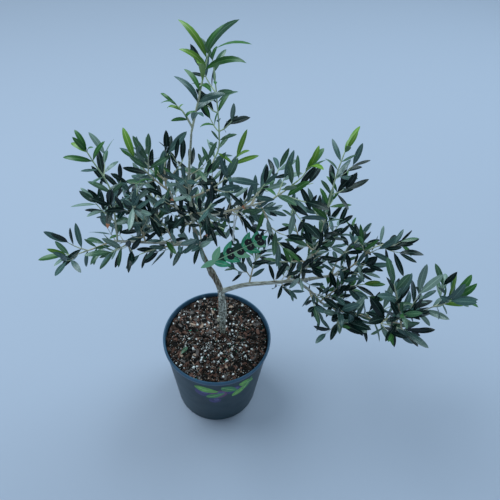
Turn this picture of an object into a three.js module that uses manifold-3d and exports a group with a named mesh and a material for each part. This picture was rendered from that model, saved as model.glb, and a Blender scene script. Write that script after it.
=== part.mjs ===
// A young olive tree in a dark nursery pot, in millimetres, +Z up.
// The origin is the middle of the pot's flat underside.

import * as THREE from 'three';
import { ConvexGeometry } from 'three/addons/geometries/ConvexGeometry.js';
import { mergeVertices } from 'three/addons/utils/BufferGeometryUtils.js';
import Module from 'manifold-3d';

const wasm = await Module();
wasm.setup();

// Pot
const POT_HEIGHT = 216;
const RIM_RADIUS = 114;
const RIM_DEPTH = 12;
const NECK_RADIUS = 110.5;
const FOOT_RADIUS = 92;
const WALL = 2;
const POT_SIDES = 36;
const DRAIN_COUNT = 6;
const DRAIN_RADIUS = 6;
const DRAIN_RING = 66;

// Potting mix
const SOIL_TOP = 204;
const SOIL_EDGE = 200.5;
const SOIL_CROWN_RADIUS = 34;

// Clear gap between neighbouring solids
const GAP = 0.3;

// Limbs: trunk, then boughs. A leg is [length, heading, climb]: headings turn from +X towards +Y,
// climbs rise from the level, both in degrees. A limb starts at a share of its parent's length.
const TRUNK_FOOT = new THREE.Vector3(11, 14, SOIL_TOP + GAP);
const FOOT_CUT = SOIL_TOP + 2 * GAP;
const FLARE = 0.25;
const FLARE_LENGTH = 9;
const LIMBS = {
  trunk: {
    radii: [8.3, 7.6, 5.2, 4.3, 3.5, 2.8, 2.2],
    sides: 12,
    legs: [[140, 178, 88], [75, 166, 70], [70, 165, 73], [50, 165, 83], [80, 150, 88], [86, 30, 85]],
  },
  left_bough: {
    parent: 'trunk',
    share: 0.545,
    radii: [3.1, 2.1],
    legs: [[50, 188, 2], [52, 188, 5], [46, 186, 4]],
  },
  upper_left_bough: {
    parent: 'trunk',
    share: 0.625,
    radii: [2.7, 1.9],
    legs: [[30, 170, 42], [50, 170, 72]],
  },
  upper_right_bough: {
    parent: 'trunk',
    share: 0.66,
    radii: [2.9, 2],
    legs: [[40, 8, 12], [50, 8, 17], [46, 8, 17]],
  },
  right_bough: {
    parent: 'trunk',
    share: 0.285,
    radii: [5.2, 3.4],
    legs: [[50, 5, 24], [48, 5, 8], [50, 5, 8], [26, 5, 10]],
  },
  right_back_bough: {
    parent: 'right_bough',
    share: 0.93,
    radii: [2.5, 1.8],
    legs: [[50, 52, 78], [40, 45, 62]],
  },
  right_middle_bough: {
    parent: 'right_bough',
    share: 1,
    radii: [2.7, 1.9],
    legs: [[50, 15, 3], [30, 15, 25]],
  },
  right_low_bough: {
    parent: 'right_bough',
    share: 0.86,
    radii: [2.7, 1.9],
    legs: [[36, 344, -32], [36, 338, -38], [38, 337, 0]],
  },
};

// Masses of foliage: each has one stem, from a share of its limb's length, and may have side shoots
// that start at a share of the stem's length
const MASSES = {
  top: {
    limb: 'trunk',
    share: 1,
    seed: 68,
    leaf: 44,
    twig: 0,
    stem: [[84, 30, 76], [34, 20, 77]],
    shoots: [{ share: 0.06, scale: 0.5, legs: [[26, 185, 66], [16, 180, 50]] }],
  },
  back_top: {
    limb: 'trunk',
    share: 0.8,
    seed: 73,
    leaf: 34,
    twig: 26,
    stem: [[40, 45, 20], [22, 45, 48], [32, 48, 72], [84, 150, 86], [46, 180, 84]],
  },
  centre_up: {
    limb: 'trunk',
    share: 0.75,
    seed: 15,
    leaf: 44,
    twig: 30,
    stem: [[31, 350, 38], [41, 355, 44], [52, 350, 66]],
  },
  centre_front_up: {
    limb: 'trunk',
    share: 0.7,
    seed: 25,
    leaf: 38,
    twig: 34,
    stem: [[34, 300, 30], [34, 310, 46], [28, 320, 60]],
  },
  centre_middle: {
    limb: 'upper_right_bough',
    share: 0.42,
    seed: 60,
    leaf: 38,
    twig: 40,
    stem: [[32, 350, 34], [34, 10, 44], [26, 20, 60]],
  },
  upper_left: {
    limb: 'upper_left_bough',
    share: 1,
    seed: 6,
    leaf: 40,
    twig: 40,
    stem: [[40, 172, 42], [40, 170, 52]],
    shoots: [{ share: 0.1, legs: [[34, 100, 66], [26, 60, 66]] }],
  },
  left_up: {
    limb: 'left_bough',
    share: 0.95,
    seed: 68,
    leaf: 38,
    twig: 36,
    stem: [[95, 10, 86], [36, 180, 84], [46, 180, 70], [18, 180, 72]],
  },
  left_far: {
    limb: 'left_bough',
    share: 1,
    seed: 38,
    leaf: 38,
    twig: 26,
    stem: [[28, 200, -16], [38, 203, -10], [18, 200, 14]],
  },
  left_middle: {
    limb: 'left_bough',
    share: 0.62,
    seed: 49,
    leaf: 38,
    twig: 44,
    stem: [[57, 178, 80], [32, 0, 88], [34, 0, 76]],
  },
  left_inner: {
    limb: 'left_bough',
    share: 0.28,
    seed: 68,
    leaf: 38,
    twig: 40,
    stem: [[44, 200, 72], [36, 190, 66]],
  },
  left_low: {
    limb: 'trunk',
    share: 0.53,
    seed: 67,
    leaf: 38,
    twig: 40,
    stem: [[48, 200, 16], [42, 196, -8], [20, 190, -22]],
  },
  left_front: {
    limb: 'left_bough',
    share: 0.8,
    seed: 5,
    leaf: 38,
    twig: 30,
    stem: [[26, 255, 26], [26, 235, 14]],
  },
  left_back: {
    limb: 'left_bough',
    share: 0.45,
    seed: 15,
    leaf: 37,
    twig: 44,
    stem: [[46, 100, 24], [46, 120, 36], [24, 130, 50]],
  },
  centre_front: {
    limb: 'trunk',
    share: 0.57,
    seed: 54,
    leaf: 34,
    twig: 24,
    stem: [[44, 285, 26], [34, 280, 46]],
  },
  centre_back: {
    limb: 'trunk',
    share: 0.5,
    seed: 51,
    leaf: 37,
    twig: 44,
    stem: [[50, 100, 22], [46, 90, 30], [34, 95, 50]],
  },
  upper_right: {
    limb: 'upper_right_bough',
    share: 1,
    seed: 2,
    leaf: 42,
    twig: 34,
    stem: [[55, 8, 45], [34, 8, 58]],
    shoots: [{ share: 0.2, legs: [[28, 340, 4], [24, 345, -4]] }],
  },
  right_hanging: {
    limb: 'upper_right_bough',
    share: 0.86,
    seed: 75,
    leaf: 36,
    twig: 26,
    stem: [[26, 305, -30], [40, 330, -62], [24, 320, -30]],
  },
  upper_right_back: {
    limb: 'upper_right_bough',
    share: 0.74,
    seed: 33,
    leaf: 37,
    twig: 34,
    stem: [[40, 70, 2], [36, 50, 10], [24, 60, 30]],
  },
  right_inner: {
    limb: 'right_bough',
    share: 0.34,
    seed: 11,
    leaf: 34,
    twig: 24,
    stem: [[24, 80, 34], [24, 70, 50], [24, 60, 72]],
  },
  right_centre: {
    limb: 'right_bough',
    share: 0.74,
    seed: 78,
    leaf: 34,
    twig: 30,
    stem: [[30, 40, 30], [34, 30, 24], [26, 20, 50]],
  },
  right_spur: {
    limb: 'right_back_bough',
    share: 0.5,
    seed: 78,
    leaf: 34,
    twig: 28,
    stem: [[26, 210, 30], [30, 190, 2], [22, 180, 0]],
  },
  back_right: {
    limb: 'right_back_bough',
    share: 1,
    seed: 68,
    leaf: 38,
    twig: 34,
    stem: [[30, 50, 84], [65, 50, 88], [46, 50, 86], [44, 50, 78], [12, 50, 58]],
  },
  back_right_inner: {
    limb: 'right_back_bough',
    share: 0.78,
    seed: 12,
    leaf: 36,
    twig: 38,
    stem: [[36, 150, 26], [36, 130, 54], [20, 120, 60]],
  },
  back_right_low: {
    limb: 'right_back_bough',
    share: 0.62,
    seed: 74,
    leaf: 36,
    twig: 36,
    stem: [[36, 50, 0], [36, 60, 4], [26, 50, 30]],
  },
  middle_right: {
    limb: 'right_middle_bough',
    share: 1,
    seed: 67,
    leaf: 36,
    twig: 26,
    stem: [[34, 15, 52], [24, 15, 62], [38, 18, 16], [30, 18, -24]],
  },
  middle_right_back: {
    limb: 'right_middle_bough',
    share: 0.55,
    seed: 65,
    leaf: 35,
    twig: 34,
    stem: [[34, 66, 26], [40, 40, 30], [26, 40, 44]],
  },
  low_right: {
    limb: 'right_low_bough',
    share: 1,
    seed: 68,
    leaf: 38,
    twig: 40,
    stem: [[44, 337, 16], [29, 336, -2], [26, 336, 14], [22, 335, 10]],
    shoots: [
      { share: 0.97, legs: [[48, 150, 69], [40, 150, 66], [22, 150, 64]] },
      { share: 0.6, legs: [[57, 18, 10], [34, 16, -3], [46, 16, 28], [18, 16, 48]] },
    ],
  },
  low_right_inner: {
    limb: 'right_low_bough',
    share: 0.6,
    seed: 67,
    leaf: 36,
    twig: 30,
    stem: [[34, 30, 30], [34, 20, 6], [26, 0, 20]],
  },
  low_right_front: {
    limb: 'right_low_bough',
    share: 0.85,
    seed: 41,
    leaf: 38,
    twig: 34,
    stem: [[26, 310, 4], [32, 335, 2], [24, 340, 10]],
  },
  right_front: {
    limb: 'right_low_bough',
    share: 0.3,
    seed: 21,
    leaf: 36,
    twig: 24,
    stem: [[32, 280, 12], [26, 270, 32]],
  },
};

// Growth of a mass: leaves stand in opposite pairs, each pair about a quarter turn on from the last.
// Lengths are in millimetres, angles in degrees; pairs in brackets are the least and the most.
const PAIR_SPACING = 32;
const BARE_ROOT = 14;
const PAIR_TURN = 90;
const TURN_JITTER = 34;
const LEAF_SPREAD = [38, 62];
const TIP_SPREAD = 22;
const LEAF_SIZE = [0.9, 1.3];
const LEAF_ASPECT = 0.29;
const LEAF_WAIST = 0.48;
const LEAF_THICKNESS = 1;
const LEAF_SINK = 0.7;
const TWIG_CHANCE = 0.4;
const TWIG_REACH = [0.9, 1.7];
const TWIG_SPREAD = 48;
const TWIG_LIFT = 0.35;
const STEM_RADII = [1.9, 1.3];
const TWIG_RADII = [1.5, 1.15];
const CLEARANCE = 1.2;
const SHORT_LEAF = 0.7;
const LOWEST_LEAF = POT_HEIGHT + 8;
const LIMB_STEPS = 3;
const STEM_STEPS = 2;
const TWIG_STEPS = 1;

// Hang tag, a stiff printed card on a loop of string over the upper right bough
const TAG_LENGTH = 128;
const TAG_WIDTH = 44;
const TAG_THICKNESS = 0.8;
const TAG_HOLE = [6, 16, 3];
const TAG_HANG = 76;
const TAG_SHARE = 0.56;
const TAG_TILT = 30;
const TAG_LEAN = 24;
const TAG_HEADING = 272;
const TAG_STANDOFF = 9;
const STRING_RADIUS = 0.8;
const STRING_DROP = 5;
const KNOT_RADIUS = 2;
const KNOT_OUT = 5;
const KNOT_RISE = 7;

const COLOURS = {
  pot: ['#20292e', 0.45, 0],
  soil: ['#2f231c', 0.95, 0],
  bark: ['#7b7358', 0.8, 0],
  shoot: ['#8f8a63', 0.75, 0],
  foliage: ['#3f5540', 0.5, 0],
  tag: ['#2f6b45', 0.5, 0],
  string: ['#e8e8e2', 0.8, 0],
};

const UP = new THREE.Vector3(0, 0, 1);

function aim(heading, climb) {
  const h = THREE.MathUtils.degToRad(heading);
  const c = THREE.MathUtils.degToRad(climb);
  return new THREE.Vector3(Math.cos(h) * Math.cos(c), Math.sin(h) * Math.cos(c), Math.sin(c));
}

function walk(start, legs) {
  const joints = [start.clone()];
  for (const [length, heading, climb] of legs) {
    joints.push(aim(heading, climb).multiplyScalar(length).add(joints.at(-1)));
  }
  return joints;
}

// A smooth line through joints, measured along its length
class Line {
  constructor(joints, stepsPerLeg) {
    const steps = (joints.length - 1) * stepsPerLeg;
    this.points = new THREE.CatmullRomCurve3(joints, false, 'catmullrom', 0.5).getPoints(steps);
    this.marks = [0];
    for (let i = 1; i < this.points.length; i += 1) {
      this.marks.push(this.marks[i - 1] + this.points[i].distanceTo(this.points[i - 1]));
    }
    this.length = this.marks.at(-1);
  }

  at(distance) {
    let i = 0;
    while (i < this.points.length - 2 && this.marks[i + 1] <= distance) i += 1;
    const direction = this.points[i + 1].clone().sub(this.points[i]).normalize();
    const point = this.points[i].clone().addScaledVector(direction, distance - this.marks[i]);
    return { point, direction };
  }

  distanceTo(point) {
    let nearest = Infinity;
    const segment = new THREE.Line3();
    const foot = new THREE.Vector3();
    for (let i = 1; i < this.points.length; i += 1) {
      segment.set(this.points[i - 1], this.points[i]).closestPointToPoint(point, true, foot);
      nearest = Math.min(nearest, foot.distanceTo(point));
    }
    return nearest;
  }
}

// Two directions square to a direction and to each other
function across(direction) {
  const guide = Math.abs(direction.z) > 0.9 ? new THREE.Vector3(1, 0, 0) : UP;
  const side = new THREE.Vector3().crossVectors(direction, guide).normalize();
  return [side, new THREE.Vector3().crossVectors(side, direction)];
}

// An upright cylinder geometry bent along a line, with its own radius at each share of the line
function bentCylinder(line, radiusAt, sides) {
  const steps = line.points.length - 1;
  const geometry = new THREE.CylinderGeometry(1, 1, 1, sides, steps);
  const place = geometry.attributes.position;
  let side = across(line.at(0).direction)[0];
  const frames = line.points.map((point, i) => {
    const before = line.points[Math.max(i - 1, 0)];
    const after = line.points[Math.min(i + 1, steps)];
    const direction = after.clone().sub(before).normalize();
    side = side.clone().addScaledVector(direction, -side.dot(direction)).normalize();
    return { point, side, other: new THREE.Vector3().crossVectors(direction, side) };
  });
  for (let v = 0; v < place.count; v += 1) {
    const i = Math.round((place.getY(v) + 0.5) * steps);
    const { point, side: first, other } = frames[i];
    const radius = radiusAt(i / steps);
    const spot = point.clone();
    spot.addScaledVector(first, place.getZ(v) * radius);
    spot.addScaledVector(other, place.getX(v) * radius);
    place.setXYZ(v, spot.x, spot.y, spot.z);
  }
  return geometry;
}

function solid(geometry) {
  const bare = geometry.clone();
  bare.deleteAttribute('normal');
  bare.deleteAttribute('uv');
  const merged = mergeVertices(bare, 1e-4);
  const faces = [];
  for (let i = 0; i < merged.index.count; i += 3) {
    const [a, b, c] = [0, 1, 2].map((k) => merged.index.getX(i + k));
    if (a !== b && b !== c && c !== a) faces.push(a, b, c);
  }
  const mesh = new wasm.Mesh({
    numProp: 3,
    vertProperties: new Float32Array(merged.attributes.position.array),
    triVerts: new Uint32Array(faces),
  });
  return new wasm.Manifold(mesh);
}

function geometryOf(body) {
  const { vertProperties, triVerts } = body.getMesh();
  const geometry = new THREE.BufferGeometry();
  geometry.setAttribute('position', new THREE.BufferAttribute(new Float32Array(vertProperties), 3));
  geometry.setIndex(new THREE.BufferAttribute(new Uint32Array(triVerts), 1));
  return geometry;
}

const tree = new THREE.Group();

function addNode(name, geometry, [colour, roughness, metalness]) {
  geometry.computeVertexNormals();
  const material = new THREE.MeshStandardMaterial({ color: colour, roughness, metalness });
  const mesh = new THREE.Mesh(geometry, material);
  mesh.name = name;
  tree.add(mesh);
  return mesh;
}

// Pot: a turned shell with a rolled rim and drain holes
function makePot() {
  const lip = POT_HEIGHT - RIM_DEPTH;
  const profile = [
    [0, 0], [FOOT_RADIUS - 3, 0], [FOOT_RADIUS, 3], [NECK_RADIUS, lip], [RIM_RADIUS, lip + 1.5],
    [RIM_RADIUS, POT_HEIGHT - 2], [RIM_RADIUS - 1.5, POT_HEIGHT], [NECK_RADIUS - 0.6, POT_HEIGHT],
    [NECK_RADIUS - WALL, POT_HEIGHT - 2], [FOOT_RADIUS - WALL, WALL + 0.5], [0, WALL + 0.5],
  ];
  const points = profile.map(([r, z]) => new THREE.Vector2(r, z));
  let body = solid(new THREE.LatheGeometry(points, POT_SIDES).rotateX(Math.PI / 2));
  for (let k = 0; k < DRAIN_COUNT; k += 1) {
    const angle = ((k + 0.5) / DRAIN_COUNT) * 2 * Math.PI;
    const drill = new THREE.CylinderGeometry(DRAIN_RADIUS, DRAIN_RADIUS, 20, 12).rotateX(Math.PI / 2);
    drill.translate(DRAIN_RING * Math.cos(angle), DRAIN_RING * Math.sin(angle), 0);
    body = body.subtract(solid(drill));
  }
  addNode('pot', geometryOf(body), COLOURS.pot);
}

// Potting mix: fills the pot to just below its rim, with a slight crown round the trunk
function makeSoil() {
  const floor = WALL + 0.5;
  const taper = (NECK_RADIUS - FOOT_RADIUS) / (POT_HEIGHT - 2 - floor);
  const wallAt = (z) => FOOT_RADIUS - WALL + taper * (z - floor) - GAP - 0.1;
  const profile = [
    [0, floor + GAP], [wallAt(floor + GAP), floor + GAP], [wallAt(SOIL_EDGE), SOIL_EDGE],
    [SOIL_CROWN_RADIUS, SOIL_TOP], [0, SOIL_TOP],
  ];
  const points = profile.map(([r, z]) => new THREE.Vector2(r, z));
  const body = solid(new THREE.LatheGeometry(points, POT_SIDES).rotateX(Math.PI / 2));
  addNode('soil', geometryOf(body), COLOURS.soil);
}

// Limbs
const limbs = {};

function limbRadius(limb, share) {
  const place = share * (limb.radii.length - 1);
  const i = Math.min(Math.floor(place), limb.radii.length - 2);
  const taper = limb.radii[i] + (limb.radii[i + 1] - limb.radii[i]) * (place - i);
  return taper * (1 + FLARE * Math.exp((-share * limb.line.length) / FLARE_LENGTH));
}

// The limb as a solid, grown outwards by a margin where its neighbours are cut by it
function limbSolid(limb, margin) {
  const line = new Line(limb.joints, LIMB_STEPS);
  const last = line.points.length - 1;
  line.points[last].addScaledVector(line.at(line.length).direction, margin);
  const sides = limb.sides ?? 8;
  return solid(bentCylinder(line, (share) => limbRadius(limb, share) + margin, sides));
}

function makeLimbs() {
  for (const [name, sizes] of Object.entries(LIMBS)) {
    const parent = limbs[sizes.parent];
    const start = parent ? parent.line.at(sizes.share * parent.line.length).point : TRUNK_FOOT;
    const joints = walk(start, sizes.legs);
    const limb = { ...sizes, name, joints, line: new Line(joints, LIMB_STEPS) };
    limbs[name] = limb;
    let body = limbSolid(limb, 0);
    if (parent) {
      body = body.subtract(limbSolid(parent, GAP));
    } else {
      const ground = new THREE.BoxGeometry(60, 60, 20).translate(TRUNK_FOOT.x, TRUNK_FOOT.y, FOOT_CUT - 10);
      body = body.subtract(solid(ground));
    }
    limb.body = body;
    addNode(name, geometryOf(body), parent ? COLOURS.shoot : COLOURS.bark);
  }
}

// Hang tag: its frame has x along the card, y across it and z out of its printed face
function tagFrame() {
  const bough = limbs.upper_right_bough;
  const { point, direction } = bough.line.at(TAG_SHARE * bough.line.length);
  const out = aim(TAG_HEADING, TAG_LEAN);
  const level = new THREE.Vector3().crossVectors(UP, out).normalize();
  const rise = new THREE.Vector3().crossVectors(out, level);
  const tilt = THREE.MathUtils.degToRad(TAG_TILT);
  const along = level.clone().multiplyScalar(Math.cos(tilt)).addScaledVector(rise, Math.sin(tilt));
  const over = new THREE.Vector3().crossVectors(out, along);
  const hole = point.clone().addScaledVector(UP, -TAG_HANG).addScaledVector(out, TAG_STANDOFF);
  const matrix = new THREE.Matrix4().makeBasis(along, over, out).setPosition(hole);
  return { bough, point, direction, out, over, hole, matrix, inverse: matrix.clone().invert() };
}

function makeTag(frame) {
  const [x, y, r] = TAG_HOLE;
  const card = new THREE.Shape();
  const end = TAG_WIDTH / 2;
  card.moveTo(-TAG_LENGTH / 2 + end, -end);
  card.lineTo(TAG_LENGTH / 2 - end, -end);
  card.absarc(TAG_LENGTH / 2 - end, 0, end, -Math.PI / 2, Math.PI / 2);
  card.lineTo(-TAG_LENGTH / 2 + end, end);
  card.absarc(-TAG_LENGTH / 2 + end, 0, end, Math.PI / 2, (3 * Math.PI) / 2);
  card.holes.push(new THREE.Path().absarc(x, y, r, 0, 2 * Math.PI, true));
  const options = { depth: TAG_THICKNESS, bevelEnabled: false, curveSegments: 6 };
  const geometry = new THREE.ExtrudeGeometry(card, options);
  geometry.translate(-x, -y, 0).applyMatrix4(frame.matrix);
  addNode('tag', geometryOf(solid(geometry)), COLOURS.tag);
}

// String: up from a knot on the card's face, over the bough and down through the hole from behind
function makeString(frame) {
  const { bough, point, direction, out, over, hole } = frame;
  const clear = limbRadius(bough, TAG_SHARE) + STRING_RADIUS + 2 * GAP;
  const seat = TAG_HOLE[2] - STRING_RADIUS - 2 * GAP;
  const front = new THREE.Vector3().crossVectors(direction, UP).normalize();
  const byBough = (forward, rise) => point.clone().addScaledVector(front, forward).addScaledVector(UP, rise);
  const byHole = (outward, rise) => hole.clone().addScaledVector(out, outward).addScaledVector(over, rise);
  const spots = [
    byHole(KNOT_OUT, KNOT_RISE),
    byBough(clear + 1, -STRING_DROP),
    byBough(clear * 0.75, clear * 0.75),
    byBough(0, clear + GAP * 2),
    byBough(-clear * 0.75, clear * 0.75),
    byBough(-clear - 1, -STRING_DROP),
    byHole(-4, 8),
    byHole(-1.4, seat),
    byHole(TAG_THICKNESS + 1, seat),
    byHole(KNOT_OUT, KNOT_RISE - 0.5),
  ];
  const path = new THREE.CatmullRomCurve3(spots);
  const section = new THREE.Shape().absarc(0, 0, STRING_RADIUS, 0, 2 * Math.PI);
  const strand = new THREE.ExtrudeGeometry(section, { steps: 48, extrudePath: path, curveSegments: 2 });
  const bead = new THREE.SphereGeometry(KNOT_RADIUS, 6, 4).translate(...spots[0]);
  addNode('tag_loop', geometryOf(solid(strand).add(solid(bead))), COLOURS.string);
}

// Repeatable numbers from 0 to 1, one stream for each mass
function stream(seed) {
  let state = seed;
  return () => {
    state = (1664525 * state + 1013904223) % 4294967296;
    return state / 4294967296;
  };
}

const between = ([low, high], share) => low + (high - low) * share;

// The direction at an angle from another one, on the side given by a turn round it
function branchOff(direction, spread, turn) {
  const [side, other] = across(direction);
  const s = THREE.MathUtils.degToRad(spread);
  const t = THREE.MathUtils.degToRad(turn);
  return direction.clone().multiplyScalar(Math.cos(s))
    .addScaledVector(side, Math.sin(s) * Math.cos(t))
    .addScaledVector(other, Math.sin(s) * Math.sin(t));
}

const masses = Object.entries(MASSES).map(([name, sizes]) => ({ ...sizes, name }));

// A ball lies in a mass's space when it clears every limb, the tag and the pot, and is nearer to the
// mass's own stem and shoots than to any other's
function isInSpace(mass, point, radius, frame) {
  if (point.z - radius < LOWEST_LEAF) return false;
  const onTag = point.clone().applyMatrix4(frame.inverse);
  const [holeX, holeY] = TAG_HOLE;
  const overEnd = Math.abs(onTag.x + holeX) - TAG_LENGTH / 2;
  const overSide = Math.abs(onTag.y + holeY) - TAG_WIDTH / 2;
  if (Math.max(overEnd, overSide, Math.abs(onTag.z) - 5) < radius) return false;
  for (const limb of Object.values(limbs)) {
    if (limb.line.distanceTo(point) < limb.radii[0] + radius + CLEARANCE) return false;
  }
  const own = Math.min(...mass.lines.map((line) => line.distanceTo(point)));
  for (const other of masses) {
    if (other === mass) continue;
    for (const line of other.lines) {
      if (line.distanceTo(point) < own + 2 * radius + CLEARANCE) return false;
    }
  }
  return true;
}

// The stem and shoots of a mass, each a line
function layOut(mass) {
  const { line } = limbs[mass.limb];
  const stem = new Line(walk(line.at(mass.share * line.length).point, mass.stem), STEM_STEPS);
  mass.lines = [stem];
  mass.scales = [1];
  for (const { share, legs, scale = 1 } of mass.shoots ?? []) {
    mass.lines.push(new Line(walk(stem.at(share * stem.length).point, legs), STEM_STEPS));
    mass.scales.push(scale);
  }
}

// A leaf turns its upper face towards the light and the tip of its stem. Where it would leave the
// mass's space it is tried again shorter, and then left out.
function tryLeaf(mass, point, direction, stemDirection, length, frame) {
  for (const size of [length, length * SHORT_LEAF]) {
    const width = size * LEAF_ASPECT;
    const fits = [0.28, 0.5, 0.75, 1].every((share) => {
      const radius = (width / 2) * Math.min(1, 2 - 2 * share) + LEAF_THICKNESS / 2;
      return isInSpace(mass, point.clone().addScaledVector(direction, share * size), radius, frame);
    });
    if (fits) {
      const lit = stemDirection.clone().add(UP);
      const face = lit.addScaledVector(direction, -direction.dot(lit)).normalize();
      mass.leaves.push({ root: point, direction, face, length: size, width });
      return;
    }
  }
}

// A side twig leaves at a fixed angle and then lifts towards the light
function growTwig(mass, point, direction, length, scale, frame) {
  const end = direction.clone().addScaledVector(UP, TWIG_LIFT).normalize();
  const middle = point.clone().addScaledVector(direction, length / 2);
  const joints = [point, middle, middle.clone().addScaledVector(end, length / 2)];
  const line = new Line(joints, TWIG_STEPS);
  const fits = [0.4, 0.6, 0.8, 1].every((share) => (
    isInSpace(mass, line.at(share * line.length).point, TWIG_RADII[0], frame)
  ));
  if (!fits) return false;
  mass.twigs.push({ line, radii: TWIG_RADII });
  dress(mass, line, false, scale, frame);
  return true;
}

// Leaf pairs and side twigs along a line, and a pair at its tip
function dress(mass, line, branching, scale, frame) {
  let turn = 360 * mass.next();
  for (let s = branching ? BARE_ROOT : BARE_ROOT * 0.8; s < line.length - 3; s += PAIR_SPACING) {
    const { point, direction } = line.at(s);
    turn += PAIR_TURN + TURN_JITTER * (mass.next() - 0.5);
    for (const opposite of [0, 180]) {
      const chance = mass.next();
      const spread = between(LEAF_SPREAD, mass.next());
      const size = between(LEAF_SIZE, mass.next()) * mass.leaf * scale;
      const reach = between(TWIG_REACH, mass.next()) * mass.twig;
      const room = branching && mass.twig > 0 && chance < TWIG_CHANCE && s < line.length - 30;
      const towards = branchOff(direction, room ? TWIG_SPREAD : spread, turn + opposite);
      if (room && growTwig(mass, point, towards, reach, scale, frame)) continue;
      tryLeaf(mass, point, towards, direction, size, frame);
    }
  }
  const { point, direction } = line.at(line.length - 1);
  turn += PAIR_TURN;
  for (const opposite of [0, 180]) {
    const size = between(LEAF_SIZE, mass.next()) * mass.leaf * scale;
    tryLeaf(mass, point, branchOff(direction, TIP_SPREAD, turn + opposite), direction, size, frame);
  }
}

// A leaf is a thin lance shape with a flat underside and its root sunk past the twig's axis
function leafSolid({ root, direction, face, length, width }) {
  const side = new THREE.Vector3().crossVectors(face, direction);
  const place = new THREE.Matrix4().makeBasis(direction, side, face).setPosition(root);
  const waist = length * LEAF_WAIST;
  const corners = [
    [-LEAF_SINK, 0, 0], [waist, width / 2, 0], [length, 0, 0], [waist, -width / 2, 0],
    [waist, 0, LEAF_THICKNESS],
  ];
  return solid(new ConvexGeometry(corners.map((spot) => new THREE.Vector3(...spot).applyMatrix4(place))));
}

function twigSolid({ line, radii }) {
  return solid(bentCylinder(line, (share) => between(radii, share), 3));
}

// Twigs and leaves joined into one solid, its root cut clear of the limb that bears it
function makeMass(mass, frame) {
  mass.next = stream(mass.seed);
  mass.leaves = [];
  mass.twigs = mass.lines.map((line) => ({ line, radii: STEM_RADII }));
  mass.lines.forEach((line, k) => dress(mass, line, true, mass.scales[k], frame));
  const pieces = [...mass.twigs.map(twigSolid), ...mass.leaves.map(leafSolid)];
  const body = pieces.reduce((whole, piece) => whole.add(piece));
  const root = limbSolid(limbs[mass.limb], GAP);
  addNode(mass.name, geometryOf(body.subtract(root)), COLOURS.foliage);
}

makePot();
makeSoil();
makeLimbs();
const tag = tagFrame();
makeTag(tag);
makeString(tag);
masses.forEach(layOut);
for (const mass of masses) makeMass(mass, tag);

export default tree;
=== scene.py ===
"""A young olive tree in a dark nursery pot: bark, twigs, leaves, potting mix, pot and hang tag.
Tables and growth are in millimetres. Meshes are in metres, with the origin under the middle of the pot."""

import math

import bmesh
import bpy
import numpy as np
from mathutils import Matrix, Vector, noise


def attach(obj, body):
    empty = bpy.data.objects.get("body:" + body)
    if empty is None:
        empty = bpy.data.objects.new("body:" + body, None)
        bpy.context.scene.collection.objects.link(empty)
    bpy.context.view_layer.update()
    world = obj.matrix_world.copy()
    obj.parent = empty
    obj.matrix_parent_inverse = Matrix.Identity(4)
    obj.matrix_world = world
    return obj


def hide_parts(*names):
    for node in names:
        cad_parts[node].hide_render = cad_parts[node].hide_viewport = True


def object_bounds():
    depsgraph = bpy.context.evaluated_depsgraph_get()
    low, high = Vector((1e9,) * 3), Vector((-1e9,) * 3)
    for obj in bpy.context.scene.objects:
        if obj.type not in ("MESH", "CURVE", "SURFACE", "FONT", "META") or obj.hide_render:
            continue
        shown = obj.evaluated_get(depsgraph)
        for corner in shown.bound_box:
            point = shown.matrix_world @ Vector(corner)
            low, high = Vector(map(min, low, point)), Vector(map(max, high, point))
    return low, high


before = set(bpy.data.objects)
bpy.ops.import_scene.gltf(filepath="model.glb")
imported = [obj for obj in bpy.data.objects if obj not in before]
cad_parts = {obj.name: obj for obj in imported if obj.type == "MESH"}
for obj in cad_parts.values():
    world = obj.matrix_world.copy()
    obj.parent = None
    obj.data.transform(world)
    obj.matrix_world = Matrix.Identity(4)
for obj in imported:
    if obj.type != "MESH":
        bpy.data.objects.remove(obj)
cad_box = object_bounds()

MM = 0.001
UP = np.array([0.0, 0.0, 1.0])

# Pot and potting mix
POT_HEIGHT = 216
RIM_RADIUS = 114
NECK_RADIUS = 110.5
FOOT_RADIUS = 92
LIP = 204
WALL = 2
FLOOR = 2.5
DRAIN_COUNT = 6
DRAIN_RADIUS = 6
DRAIN_RING = 66
SOIL_TOP = 204
SOIL_EDGE = 200.5
SOIL_CROWN_RADIUS = 34

# Limbs: [bearing limb, share up it, radii, legs of length, heading and climb]
TRUNK_FOOT = np.array([11, 14, 204.3])
LIMBS = {
    "trunk": (None, 0, [8.3, 7.6, 5.2, 4.3, 3.5, 2.8, 2.2],
              [[140, 178, 88], [75, 166, 70], [70, 165, 73], [50, 165, 83], [80, 150, 88], [86, 30, 85]]),
    "left_bough": ("trunk", 0.545, [3.1, 2.1], [[50, 188, 2], [52, 188, 5], [46, 186, 4]]),
    "upper_left_bough": ("trunk", 0.625, [2.7, 1.9], [[30, 170, 42], [50, 170, 72]]),
    "upper_right_bough": ("trunk", 0.66, [2.9, 2], [[40, 8, 12], [50, 8, 17], [46, 8, 17]]),
    "right_bough": ("trunk", 0.285, [5.2, 3.4], [[50, 5, 24], [48, 5, 8], [50, 5, 8], [26, 5, 10]]),
    "right_back_bough": ("right_bough", 0.93, [2.5, 1.8], [[50, 52, 78], [40, 45, 62]]),
    "right_middle_bough": ("right_bough", 1, [2.7, 1.9], [[50, 15, 3], [30, 15, 25]]),
    "right_low_bough": ("right_bough", 0.86, [2.7, 1.9], [[36, 344, -32], [36, 338, -38], [38, 337, 0]]),
}
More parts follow.
